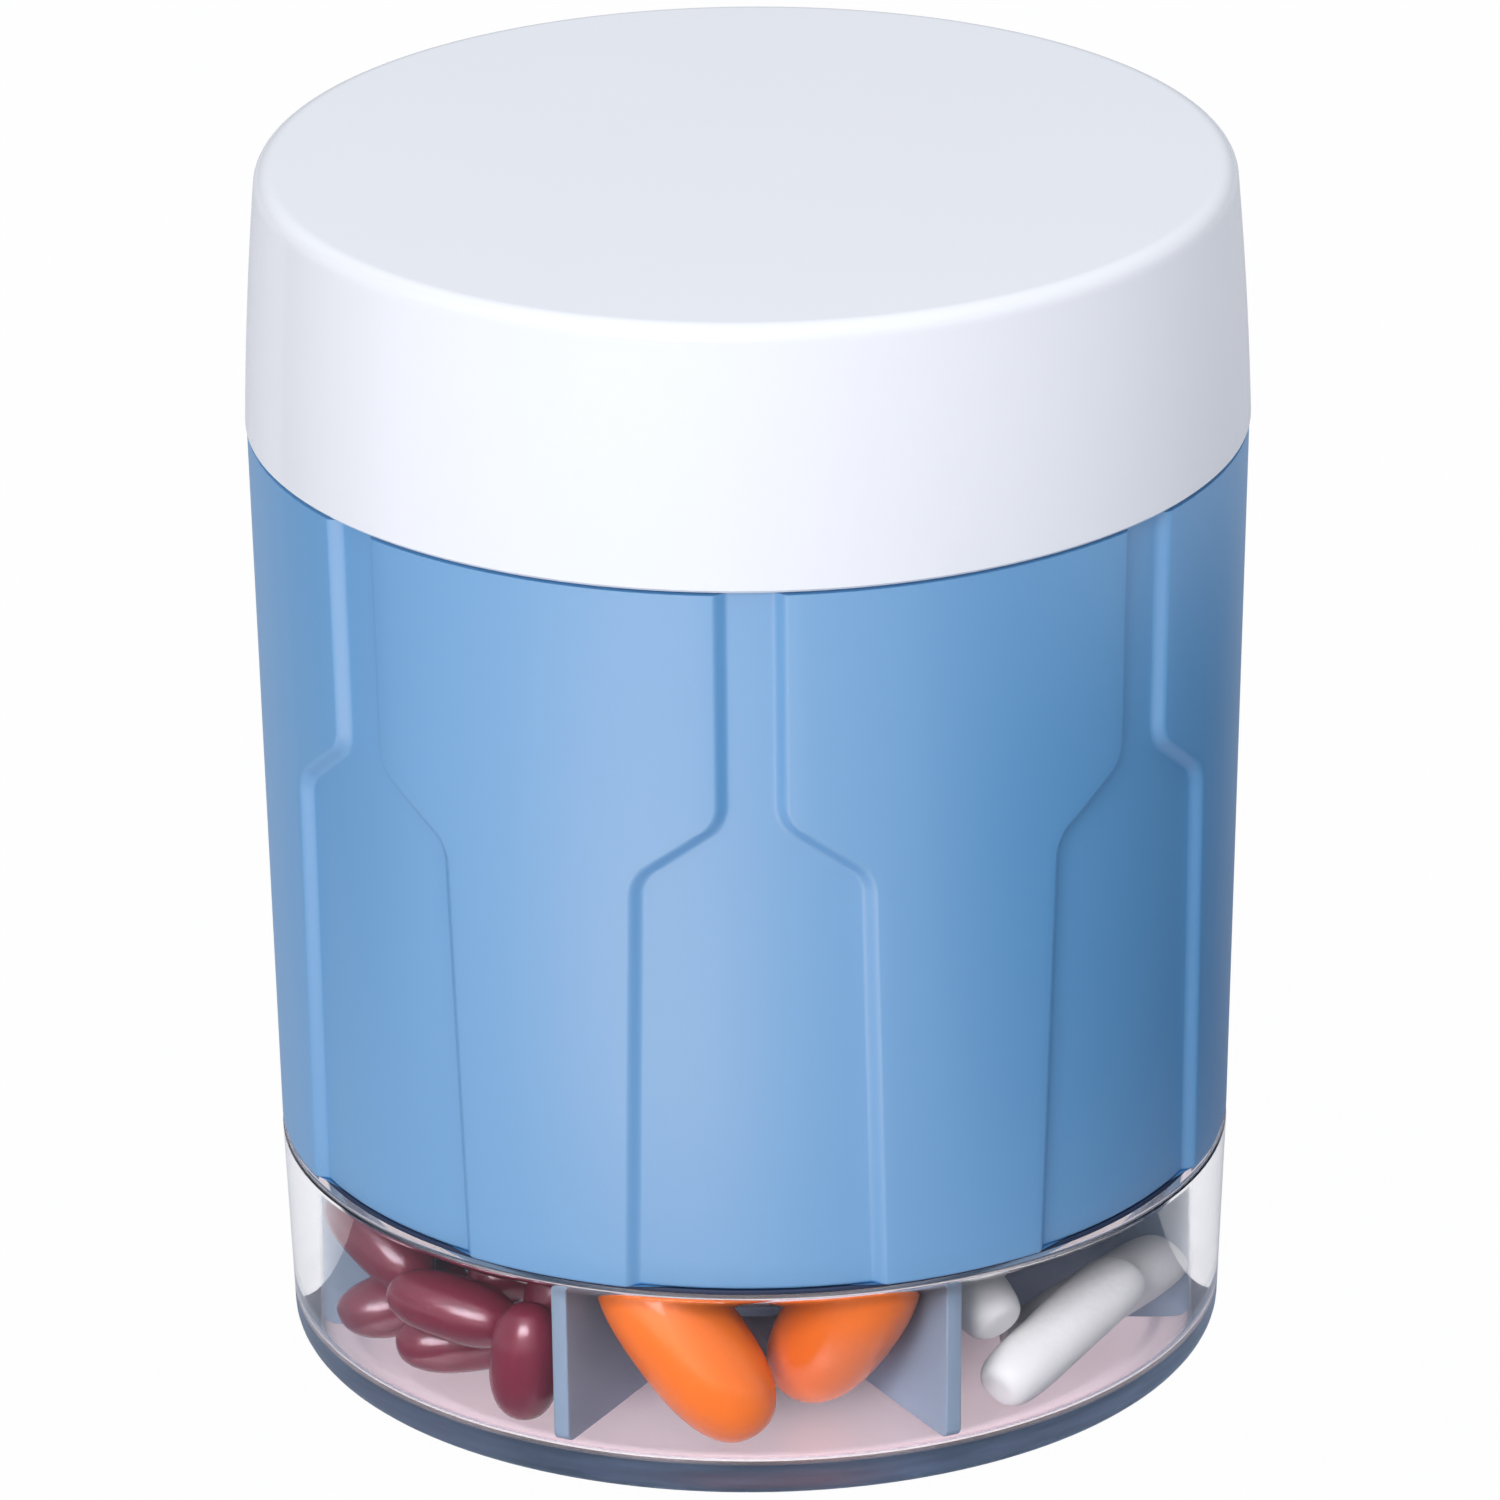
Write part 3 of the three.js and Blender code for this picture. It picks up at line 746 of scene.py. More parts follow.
BASE_CLEAR = ClearFinish(
    "base_clear", "clear_plastic", (0.965, 0.962, 1.0), (0.955, 0.952, 0.995), (0.012, 0.02),
    grain_height=0.001, gloss=0.3, refraction=1.53,
)
GASKET_BLUE = Finish(
    "gasket_blue", "gasket_rubber", (0.02, 0.04, 0.1), (0.015, 0.03, 0.08), (0.5, 0.6)
)
SEAL_WHITE = Finish(
    "seal_white", "seal_silicone", (0.7, 0.72, 0.78), (0.66, 0.68, 0.74), (0.5, 0.6)
)
STEEL = MetalFinish("steel", "steel", (0.62, 0.63, 0.65), (0.55, 0.56, 0.58), (0.2, 0.32))
BURGUNDY_GEL = CoatedFinish(
    "burgundy_gel", "burgundy_gel", (0.08, 0.011, 0.019), (0.06, 0.008, 0.0135), (0.12, 0.18),
    mottle_scale=120, grain_height=0.001, gloss=0.0, coat=0.9, coat_roughness=0.0,
)
ORANGE_GEL = CoatedFinish(
    "orange_gel", "orange_gel", (0.78, 0.048, 0.0015), (0.74, 0.042, 0.001), (0.35, 0.45),
    mottle_scale=90, grain_height=0.001, gloss=0.15, coat=0.0, coat_roughness=0.2, depth=0.15,
)
TABLET_WHITE = Finish(
    "tablet_white", "white_coat", (0.88, 0.865, 0.84), (0.82, 0.81, 0.78), (0.55, 0.7),
    mottle_scale=300, grain_scale=1500, grain_height=0.06,
)


@dataclass
class Lid:
    """Pull-off lid: shell, liner with its plug ring, and seal."""

    low: float = 97.3
    top: float = 123.8
    radius_low: float = 50.0
    lean: float = 0.6
    bulge: float = 0.75
    round_radius: float = 1.8
    wall: float = 1.9
    top_thickness: float = 2.2
    chamfer: float = 0.9
    low_chamfer: float = 0.3
    flat_start: float = 20.0
    flat_inset: float = 3.0
    row_gap: float = 0.5
    side_rows: int = 14
    round_rows: int = 8
    smooth_angle: float = 40
    liner_round: float = 0.3
    seal_round: float = 0.25
    liner_top: float = 121.3
    liner_bottom: float = 119.2
    plug_radius: float = 44.4
    plug_bore: float = 42.6
    plug_bottom: float = 110.6
    groove_radius: float = 43.5
    groove_low: float = 113.6
    groove_high: float = 116.2
    seal_rings: tuple[Ring, ...] = (
        (43.75, 113.9), (44.4, 113.9), (44.75, 114.9), (44.4, 115.9), (43.75, 115.9)
    )

    def side_radius(self, height: float) -> float:
        """Outer radius at a height, in millimetres."""
        share = (height - self.low) / (self.top - self.round_radius - self.low)
        return self.radius_low - self.lean * share - self.bulge * share * share

    def shell(self) -> None:
        """Model the shell: a bowed side, a round shoulder and a flat top."""
        side_top = self.top - self.round_radius
        ceiling = self.top - self.top_thickness
        inner_top = ceiling - self.chamfer
        rise = side_top - self.low
        heights = [self.low + rise * i / self.side_rows for i in range(self.side_rows + 1)]
        inner = [h for h in heights if h < inner_top - self.row_gap] + [inner_top]
        corner = self.side_radius(side_top) - self.round_radius
        rings = [
            (self.flat_start, ceiling),
            (self.side_radius(inner_top) - self.wall - self.chamfer, ceiling),
            *[(self.side_radius(h) - self.wall, h) for h in reversed(inner)],
            (self.radius_low - self.low_chamfer, self.low),
            (self.side_radius(self.low + self.low_chamfer), self.low + self.low_chamfer),
            *[(self.side_radius(h), h) for h in heights[1:]],
            *arc((corner, side_top), self.round_radius, 0, 90, self.round_rows)[1:],
            (corner - self.flat_inset, self.top),
            (self.flat_start, self.top),
        ]
        piece = turned("lid_shell_smooth", with_support(rings), Close.CAPS)
        smooth(piece, self.smooth_angle)
        settle(piece, Body.LID, LID_WHITE, "lid_shell")

    def liner(self) -> None:
        """Model the liner plate with its plug ring and seal groove."""
        plate = self.side_radius(self.liner_top) - self.wall - self.chamfer
        rings = [
            (self.flat_start, self.liner_bottom),
            (self.plug_bore, self.liner_bottom),
            (self.plug_bore, self.plug_bottom),
            (self.plug_radius, self.plug_bottom),
            (self.plug_radius, self.groove_low),
            (self.groove_radius, self.groove_low),
            (self.groove_radius, self.groove_high),
            (self.plug_radius, self.groove_high),
            (self.plug_radius, self.liner_bottom),
            (plate, self.liner_bottom),
            (plate, self.liner_top),
            (self.flat_start, self.liner_top),
        ]
        piece = turned("lid_liner_smooth", rings, Close.CAPS)
        round_and_settle(piece, self.liner_round, Body.LID, LINER_WHITE, "lid_liner")

    def seal(self) -> None:
        """Model the seal ring with a round lip."""
        piece = turned("lid_seal_smooth", self.seal_rings, Close.RING)
        round_and_settle(piece, self.seal_round, Body.LID, SEAL_WHITE, "lid_seal")

    def build(self) -> None:
        """Build every piece of the lid."""
        self.shell()
        self.liner()
        self.seal()


@dataclass
class Casing:
    """Blue casing with a bottle-shaped field sunk over each compartment.

    The neck's rings run from the shoulder over the neck and down the bore to the foot.
    """

    low: float = 22.7
    shoulder: float = 97.0
    radius_low: float = 48.0
    radius_high: float = 49.85
    field_depth: float = 1.1
    slope_reach: float = 0.78
    edge_round: float = 0.4
    edge_angles: tuple[int, ...] = (0, 30, 60, 90)
    neck_half: float = 2.95
    body_half_high: float = 11.55
    body_half_low: float = 12.4
    shoulder_high: float = 72.9
    shoulder_low: float = 66.8
    corner_radius: float = 3.8
    corner_steps: int = 22
    stretch_rows: tuple[int, int, int] = (8, 6, 16)
    floor_columns: int = 6
    slope_columns: int = 12
    petal_columns: int = 9
    merge_reach: float = 0.01
    smooth_angle: float = 50
    neck_rings: tuple[Ring, ...] = (
        (47.6, 97.0), (47.3, 97.3), (46.52, 118.1), (46.3, 118.6), (45.9, 118.8), (45.5, 118.8),
        (45.1, 118.6), (44.9, 118.2), (44.9, 97.2), (44.4, 96.5), (43.9, 31.05),
        (45.75, 31.05), (45.75, 23.0), (46.0, 22.7), (46.2, 22.7),
    )

    def skin_radius(self, height: float) -> float:
        """Radius of the unsunk skin at a height, in millimetres."""
        share = (height - self.low) / (self.shoulder - self.low)
        return self.radius_low + (self.radius_high - self.radius_low) * share

    def side_path(self) -> list[tuple[float, float, float]]:
        """Follow one side of a field from the top down.

        Returns:
            Half width, height and the slant's cosine at each row, in millimetres.
        """
        corners = [
            Vector((self.neck_half, self.shoulder)),
            Vector((self.neck_half, self.shoulder_high)),
            Vector((self.body_half_high, self.shoulder_low)),
            Vector((self.body_half_low, self.low)),
        ]
        path: list[tuple[Vector, Vector]] = []
        previous = corners[0]
        for i in (1, 2):
            arriving = (corners[i] - corners[i - 1]).normalized()
            leaving = (corners[i + 1] - corners[i]).normalized()
            turn = math.acos(max(-1.0, min(1.0, arriving.dot(leaving))))
            side = 1 if arriving.x * leaving.y - arriving.y * leaving.x > 0 else -1
            start = corners[i] - arriving * (self.corner_radius * math.tan(turn / 2))
            inward = Vector((-arriving.y, arriving.x)) * side
            centre = start + inward * self.corner_radius
            rows = self.stretch_rows[i - 1]
            path += [(previous.lerp(start, k / rows), arriving) for k in range(rows)]
            for k in range(self.corner_steps + 1):
                angle = side * turn * k / self.corner_steps
                spot = centre + rotated(start - centre, angle)
                path.append((spot, rotated(arriving, angle)))
            previous = path.pop()[0]
        rows = self.stretch_rows[2]
        end = Vector((self.body_half_low, self.low + self.edge_round))
        path += [(previous.lerp(end, k / rows), leaving) for k in range(rows)]
        result = [(p.x, p.y, abs(d.y)) for p, d in path]
        for angle in self.edge_angles:
            drop = self.edge_round * (1 - math.sin(math.radians(angle)))
            result.append((self.body_half_low, self.low + drop, 1.0))
        return result

    def sink(self, distance: float) -> float:
        """Depth below the skin at a distance outside the field's mid-line, in millimetres."""
        share = min(1.0, max(0.0, (distance + self.slope_reach) / (2 * self.slope_reach)))
        return self.field_depth * (1 - share * share * (3 - 2 * share))

    def columns(
        self, half_width: float, slant: float, half_pitch: float
    ) -> list[tuple[float, float]]:
        """Spread the columns of half a pitch over one row.

        Args:
            half_width: Half width of the field on this row.
            slant: Cosine of the side's slant from upright.
            half_pitch: Half the pitch along the arc.

        Returns:
            Arc distance from the field's middle and depth, in millimetres.
        """
        reach = self.slope_reach / slant
        inner = half_width - reach
        outer = half_width + reach
        count = self.floor_columns
        spots = [(inner * i / count, self.field_depth) for i in range(count)]
        for i in range(self.slope_columns):
            distance = self.slope_reach * (2 * i / self.slope_columns - 1)
            spots.append((half_width + distance / slant, self.sink(distance)))
        for i in range(self.petal_columns + 1):
            spots.append((outer + (half_pitch - outer) * i / self.petal_columns, 0.0))
        return spots

    def skin(self) -> Piece:
        """Model one seventh of the skin as a grid and copy it round the axis.

        Returns:
            The open skin, with its rows level at the top and the bottom.
        """
        path = self.side_path()
        last_row = len(path) - 1
        half_count = self.floor_columns + self.slope_columns + self.petal_columns
        across = 2 * half_count
        deselect_all()
        bpy.ops.mesh.primitive_grid_add(x_subdivisions=across, y_subdivisions=last_row, size=1)
        piece = new_piece("casing_smooth")
        for vertex in piece.data.vertices:
            column = round((vertex.co.x + 0.5) * across) - half_count
            row = round((0.5 - vertex.co.y) * last_row)
            half_width, height, slant = path[row]
            radius = self.skin_radius(height)
            arc_length, depth = self.columns(half_width, slant, radius * PITCH / 2)[abs(column)]
            fall = min(1.0, (height - self.low) / self.edge_round)
            depth += self.edge_round * (1 - math.sqrt(max(0.0, 1 - (1 - fall) ** 2)))
            angle = math.copysign(arc_length, column) / radius
            spot = Vector((math.sin(angle), -math.cos(angle))) * (radius - depth)
            vertex.co = Vector((spot.x, spot.y, height)) * MM
        edit(piece)
        bpy.ops.mesh.select_all(action="SELECT")
        for _ in range(COMPARTMENTS - 1):
            bpy.ops.mesh.duplicate()
            bpy.ops.transform.rotate(value=PITCH, orient_axis="Z", center_override=(0, 0, 0))
        bpy.ops.mesh.select_all(action="SELECT")
        bpy.ops.mesh.remove_doubles(threshold=self.merge_reach * MM)
        leave_edit()
        return piece

    def select_rim(self, piece: Piece, height: float, tolerance: float = 0.01) -> None:
        """Select the open edges that lie level at a height in millimetres.

        Args:
            piece: The casing in edit mode.
            height: Height of the rim.
            tolerance: How far from that height a vertex may lie.
        """
        select_where(
            piece,
            "EDGE",
            lambda edge: edge.is_boundary
            and all(abs(v.co.z / MM - height) < tolerance for v in edge.verts),
        )

    def build(self) -> None:
        """Build the casing: skin, shoulder, neck, bore and socket."""
        piece = self.skin()
        edit(piece)
        self.select_rim(piece, self.shoulder)
        grow_rings(piece, self.neck_rings)
        self.select_rim(piece, self.low)
        bpy.ops.mesh.bridge_edge_loops()
        point_outwards()
        leave_edit()
        smooth(piece, self.smooth_angle)
        settle(piece, Body.ORGANIZER, CASING_BLUE, "outer_shell")


@dataclass
class Base:
    """Clear base cup with its gasket.

    The cup's rings run over the underside, the round foot, the rim with its neck, the round
    inner corner and the spigot in the middle.
    """

    foot_radius: float = 47.15
    foot_round: float = 2.2
    foot_rows: int = 8
    bore: float = 43.8
    floor: float = 3.1
    inner_round: float = 0.8
    inner_rows: int = 6
    gasket_round: float = 0.12
    smooth_angle: float = 50
    underside_rings: tuple[Ring, ...] = (
        (10.0, 0.8), (39.6, 0.8), (40.1, 0.72), (40.7, 0.08), (41.2, 0.0)
    )
    rim_rings: tuple[Ring, ...] = (
        (48.0, 21.65), (47.9, 21.9), (47.65, 22.0), (45.7, 22.0), (45.5, 22.2),
        (45.5, 30.4), (45.1, 30.8), (44.1, 30.8), (43.8, 30.5),
    )
    spigot_rings: tuple[Ring, ...] = ((4.9, 3.1), (4.6, 3.4), (4.5, 11.2), (4.1, 11.6))
    gasket_rings: tuple[Ring, ...] = ((45.63, 22.1), (46.88, 22.1), (46.88, 22.6), (45.63, 22.6))

    def cup(self) -> None:
        """Model the cup with a round foot and a round inner corner."""
        foot = (self.foot_radius - self.foot_round, self.foot_round)
        inner = (self.bore - self.inner_round, self.floor + self.inner_round)
        rings = [
            *self.underside_rings,
            *arc(foot, self.foot_round, -90, 0, self.foot_rows),
            *self.rim_rings,
            *arc(inner, self.inner_round, 0, -90, self.inner_rows),
            *self.spigot_rings,
        ]
        piece = turned("base_cup_smooth", with_support(rings), Close.CAPS)
        smooth(piece, self.smooth_angle)
        settle(piece, Body.ORGANIZER, BASE_CLEAR, "base_cup")

    def gasket(self) -> None:
        """Model the thin gasket under the casing."""
        piece = turned("base_seal_smooth", self.gasket_rings, Close.RING)
        round_and_settle(
            piece, self.gasket_round, Body.ORGANIZER, GASKET_BLUE, "base_seal"
        )

    def build(self) -> None:
        """Build the cup and its gasket."""
        self.cup()
        self.gasket()


@dataclass
class Divider:
    """Hub with seven vanes."""

    low: float = 3.4
    top: float = 105.3
    hub_radius: float = 7.0
    hub_bore: float = 4.75
    pilot: float = 1.75
    plug_low: float = 92.3
    root: float = 5.9
    thickness: float = 1.6
    lower_reach: float = 43.5
    upper_reach: float = 43.85
    step: float = 31.3
    foot_round: float = 1.1
    foot_steps: int = 5
    edge_round: float = 0.25
    sharp_angle: float = 25

    def vane(self, index: int) -> Piece:
        """Model one vane: a plate with a wider upper part and a round outer foot.

        Args:
            index: Which of the vanes it is.

        Returns:
            The vane, turned to its place.
        """
        half = self.thickness / 2
        low, high = (self.root, -half, self.low), (self.lower_reach, half, self.step)
        piece = block(f"vane_{index}", low, high)
        edit(piece)
        select_where(piece, "FACE", lambda face: face.normal.z > ALONG)
        extrude(0, 0, self.top - self.step)
        select_where(
            piece,
            "FACE",
            lambda face: face.normal.x > ALONG
            and face.calc_center_median().z > self.step * MM,
        )
        extrude(self.upper_reach - self.lower_reach, 0, 0)
        outer, under = (self.lower_reach - NEAR) * MM, (self.low + NEAR) * MM
        select_where(
            piece, "EDGE", lambda edge: all(v.co.x > outer and v.co.z < under for v in edge.verts)
        )
        bpy.ops.mesh.bevel(offset=self.foot_round * MM, segments=self.foot_steps, affect="EDGES")
        leave_edit()
        round_edges(piece, self.edge_round, self.sharp_angle)
        angle = (index + 0.5) * PITCH - math.pi / 2
        turn = Vector((math.cos(angle), math.sin(angle)))
        for vertex in piece.data.vertices:
            x, y = vertex.co.x, vertex.co.y
            vertex.co.x = x * turn.x - y * turn.y
            vertex.co.y = x * turn.y + y * turn.x
        return piece

    def build(self) -> None:
        """Build the hub and join the vanes to it."""
        rings = [
            (self.hub_bore, self.low), (self.hub_radius, self.low), (self.hub_radius, self.top),
            (self.pilot, self.top), (self.pilot, self.plug_low), (self.hub_bore, self.plug_low),
        ]
        piece = turned("divider_smooth", rings, Close.RING, SMALL_COUNT)
        for index in range(COMPARTMENTS):
            combine(piece, self.vane(index), "UNION")
        smooth(piece)
        settle(piece, Body.ORGANIZER, DIVIDER_BLUE, "divider_core")


@dataclass
class PourDisc:
    """Turning disc with its boss, grip and pour opening, and the pivot in it."""

    low: float = 105.7
    thickness: float = 2.0
    radius: float = 44.5
    lip_height: float = 2.3
    lip_width: float = 1.6
    boss_radius: float = 9.0
    boss_top: float = 115.4
    boss_inside: float = 7.8
    well_radius: float = 6.0
    ledge_radius: float = 6.6
    ledge: float = 113.6
    well_floor: float = 109.9
    hole: float = 3.4
    overlap: float = 1.0
    edge_round: float = 0.35
    sharp_angle: float = 40
    bush_round: float = 0.15
    screw_round: float = 0.08
    cap_round: float = 0.3
    grip_half: float = 30.0
    grip_thickness: float = 4.0
    grip_slant: float = 5.0
    grip_steps: int = 8
    pour_inner: float = 12.0
    pour_outer: float = 40.5
    pour_margin: float = 3.2
    pour_half_steps: int = 12
    pour_corner: float = 2.0
    pour_corner_steps: int = 6
    cutter_height: float = 6.0
    bush_rings: tuple[Ring, ...] = (
        (1.8, 105.4), (3.1, 105.4), (3.1, 110.1), (5.6, 110.1), (5.6, 111.0), (1.8, 111.0)
    )
    screw_rings: tuple[Ring, ...] = (
        (0.2, 95.1), (1.5, 96.6), (1.5, 111.1), (3.3, 111.1), (3.3, 112.2), (1.8, 113.1),
        (0.4, 113.2),
    )
    cap_rings: tuple[Ring, ...] = ((1.0, 113.7), (6.35, 113.7), (6.35, 115.1), (1.0, 115.1))
    slot_half: tuple[float, float] = (2.1, 0.45)
    slot_heights: tuple[float, float] = (112.1, 114.5)

    def opening_cutter(self) -> Piece:
        """Model the wedge that cuts the pour opening.

        Returns:
            The cutter, with round upright corners.
        """
        half = PITCH / 2
        inner = half - math.asin(self.pour_margin / self.pour_inner)
        outer = half - math.asin(self.pour_margin / self.pour_outer)
        corners = [(self.pour_inner, inner), (self.pour_inner, -inner)]
        steps = self.pour_half_steps
        corners += [(self.pour_outer, outer * (i / steps - 1)) for i in range(2 * steps + 1)]
        deselect_all()
        bpy.ops.mesh.primitive_circle_add(vertices=len(corners), radius=MM, fill_type="NGON")
        piece = bpy.context.object
        low = self.low - self.overlap
        for vertex, (radius, azimuth) in zip(piece.data.vertices, corners):
            spot = Vector((radius * math.sin(azimuth), -radius * math.cos(azimuth), low))
            vertex.co = spot * MM
        edit(piece)
        bpy.ops.mesh.select_all(action="SELECT")
        extrude(0, 0, self.cutter_height)
        point_outwards()
        select_where(
            piece,
            "EDGE",
            lambda edge: abs(edge.verts[0].co.z - edge.verts[1].co.z) > NEAR * MM
            and len(edge.link_faces) == 2
            and edge.calc_face_angle() > math.radians(self.sharp_angle),
        )
        width, steps = self.pour_corner * MM, self.pour_corner_steps
        bpy.ops.mesh.bevel(offset=width, segments=steps, affect="EDGES")
        leave_edit()
        return piece

    def grip(self) -> Piece:
        """Model the finger grip: a bar with slanted ends and round edges.

        Returns:
            The grip bar.
        """
        long, half = self.grip_half, self.grip_thickness / 2
        low, high = (-long, -half, self.low + self.overlap), (long, half, self.boss_top)
        piece = block("grip", low, high)
        edit(piece)
        select_where(
            piece,
            "EDGE",
            lambda edge: all(v.co.z > (self.boss_top - NEAR) * MM for v in edge.verts)
            and abs(edge.verts[0].co.x - edge.verts[1].co.x) < NEAR * MM,
        )
        bpy.ops.mesh.bevel(offset=self.grip_slant * MM, segments=self.grip_steps, affect="EDGES")
        leave_edit()
        return piece

    def disc(self) -> None:
        """Model the disc itself."""
        top = self.low + self.thickness
        lip = self.radius - self.lip_width
        rings = [
            (self.hole, self.low), (self.radius, self.low), (self.radius, top + self.lip_height),
            (lip, top + self.lip_height), (lip, top), (self.boss_radius, top),
            (self.boss_radius, self.boss_top), (self.ledge_radius, self.boss_top),
            (self.ledge_radius, self.ledge), (self.well_radius, self.ledge),
            (self.well_radius, self.well_floor), (self.hole, self.well_floor),
        ]
        piece = turned("pour_disc_smooth", rings, Close.RING)
        grip = self.grip()
        ends = (self.low - self.overlap, self.boss_top + self.overlap)
        well = [(self.boss_inside, height) for height in ends]
        combine(grip, turned("well_space", well, Close.CAPS, SMALL_COUNT), "DIFFERENCE")
        combine(piece, grip, "UNION")
        combine(piece, self.opening_cutter(), "DIFFERENCE")
        round_edges(piece, self.edge_round, self.sharp_angle)
        smooth(piece)
        settle(piece, Body.SELECTOR, DISC_WHITE, "selector_disc")

    def pivot(self) -> None:
        """Model the bush, the screw and the cap of the pivot."""
        bush = turned("pivot_bush_smooth", self.bush_rings, Close.RING, SMALL_COUNT)
        round_and_settle(bush, self.bush_round, Body.ORGANIZER, STEEL, "pivot_bush")
        screw = turned("pivot_screw_smooth", self.screw_rings, Close.CAPS, SMALL_COUNT)
        low, high = self.slot_heights
        for x, y in (self.slot_half, self.slot_half[::-1]):
            combine(screw, block("slot", (-x, -y, low), (x, y, high)), "DIFFERENCE")
        round_and_settle(screw, self.screw_round, Body.ORGANIZER, STEEL, "pivot_screw")
        cap = turned("pivot_cap_smooth", self.cap_rings, Close.CAPS, SMALL_COUNT)
        round_and_settle(cap, self.cap_round, Body.SELECTOR, DISC_WHITE, "pivot_cap")

    def build(self) -> None:
        """Build the disc and its pivot."""
        self.disc()
        self.pivot()


@dataclass(frozen=True)
class PillKind:
    """Size, bluntness and finish of one kind of pill."""

    length: float
    girth: float
    power: float
    finish: Finish


@dataclass(frozen=True)
class PillPlace:
    """Centre of a pill in millimetres and the course of its axis in degrees."""

    node: str
    kind: PillKind
    centre: tuple[float, float, float]
    azimuth: float
    heading: float
    tilt: float


LARGE_GEL = PillKind(24.2, 11.2, 2.5, ORANGE_GEL)
SMALL_GEL = PillKind(13.0, 6.9, 2.4, BURGUNDY_GEL)
CAPLET = PillKind(19.3, 6.6, 5.0, TABLET_WHITE)


@dataclass
class Contents:
    """The pills that lie in three of the compartments."""

    segments: int = 48
    rings: int = 40
    pole: float = 1e-6
    smooth_angle: float = 80

    def places(self) -> list[PillPlace]:
        """List where each pill lies.

        Returns:
            One place for each pill.
        """
        rows = [
            ("large_softgel_1", LARGE_GEL, (-6.86, -37.23, 14.18), -10.4, -95, 55),
            ("large_softgel_2", LARGE_GEL, (8.34, -33.43, 14.38), 14.0, 24, 52),
            ("small_softgel_1", SMALL_GEL, (-34.39, -12.59, 7.66), -69.9, 178, 15),
            ("small_softgel_2", SMALL_GEL, (-22.19, -18.56, 14.51), -50.1, 171, 12),
            ("small_softgel_3", SMALL_GEL, (-29.14, -25.78, 12.34), -48.5, -63, 10),
            ("small_softgel_4", SMALL_GEL, (-28.52, -20.87, 6.90), -53.8, 156, 3),
            ("small_softgel_5", SMALL_GEL, (-22.25, -33.37, 9.90), -33.7, -105, 97),
            ("small_softgel_6", SMALL_GEL, (-18.98, -25.01, 15.05), -37.2, -169, 67),
            ("small_softgel_7", SMALL_GEL, (-36.39, -14.78, 15.31), -67.9, -64, 36),
            ("caplet_1", CAPLET, (29.40, -26.75, 9.60), 47.7, 88, 22),
            ("caplet_2", CAPLET, (18.49, -25.54, 17.65), 35.9, -178, 32),
            ("caplet_3", CAPLET, (32.61, -16.76, 8.50), 62.8, 61, 17),
        ]
        return [PillPlace(*row) for row in rows]

    def pill(self, place: PillPlace) -> None:
        """Model one pill and lay it in its place.

        Args:
            place: Where it lies and what kind it is.
        """
        deselect_all()
        bpy.ops.mesh.primitive_uv_sphere_add(
            segments=self.segments, ring_count=self.rings, radius=1
        )
        piece = new_piece(place.node + "_smooth")
        kind = place.kind
        course = math.radians(place.azimuth - 90 + place.heading)
        climb = math.radians(place.tilt)
        level = math.cos(climb)
        axis = Vector((level * math.cos(course), level * math.sin(course), math.sin(climb)))
        turn = axis.to_track_quat("Z", "Y")
        for vertex in piece.data.vertices:
            angle = math.asin(max(-1.0, min(1.0, vertex.co.z)))
            share = math.copysign(abs(math.sin(angle)) ** (2 / kind.power), angle)
            along = share * kind.length / 2
            across = max(0.0, math.cos(angle)) ** (2 / kind.power) * kind.girth / 2
            flat = Vector((vertex.co.x, vertex.co.y))
            if flat.length > self.pole:
                flat.normalize()
            spot = turn @ Vector((flat.x * across, flat.y * across, along))
            vertex.co = (spot + Vector(place.centre)) * MM
        smooth(piece, self.smooth_angle)
        settle(piece, Body.ORGANIZER, kind.finish, place.node)

    def build(self) -> None:
        """Build every pill."""
        for place in self.places():
            self.pill(place)


@dataclass(frozen=True)
class Card:
    """A card near the object that the camera doesn't see, only gloss or the clear plastic."""

    name: str
    rows: Corners
    colour: Colour
    in_gloss: bool = True
    in_glass: bool = False
    shades: bool = False


def upright(place: float, near: float, far: float, top: float) -> Corners:
    """Corners of a card that stands beside the object, in metres."""
    return (((place, near, 0.0), (place, far, 0.0)), ((place, near, top), (place, far, top)))


def lying(left: float, right: float, near: float, far: float) -> Corners:
    """Corners of a card that lies on the floor, in metres."""
    return (((left, near, MM), (right, near, MM)), ((left, far, MM), (right, far, MM)))


def ring(inner: float, outer: float, reach: float, half_steps: int = 10) -> Corners:
    """Corners of a flat ring piece on the floor in front of the object.

    Args:
        inner: Inner radius in metres.
        outer: Outer radius in metres.
        reach: Angle to either side of the front, in degrees.
        half_steps: Number of steps to either side.

    Returns:
        An outer and an inner row of corners.
    """
    angles = [math.radians(reach * (i / half_steps - 1)) for i in range(2 * half_steps + 1)]
    return tuple(
        tuple((radius * math.sin(a), -radius * math.cos(a), MM) for a in angles)
        for radius in (outer, inner)
    )


def facing(
    distance: float, azimuth: float, climb: float, width: float, height: float
) -> Corners:
    """Corners of a card that hangs in the air and faces the object.

    Args:
        distance: How far it hangs, in metres.
        azimuth: Its bearing from the front, to the right, in degrees.
        climb: Its angle above the level, in degrees.
        width: Its width in metres.
        height: Its height in metres.

    Returns:
        A lower and an upper row of corners.
    """
    a, c = math.radians(azimuth), math.radians(climb)
    away = Vector((math.cos(c) * math.sin(a), -math.cos(c) * math.cos(a), math.sin(c)))
    side = Vector((math.cos(a), math.sin(a), 0.0))
    rise = side.cross(away) * -1
    middle = away * distance
    return tuple(
        tuple(tuple(middle + side * (width * x / 2) + rise * (height * y / 2)) for x in (-1, 1))
        for y in (-1, 1)
    )


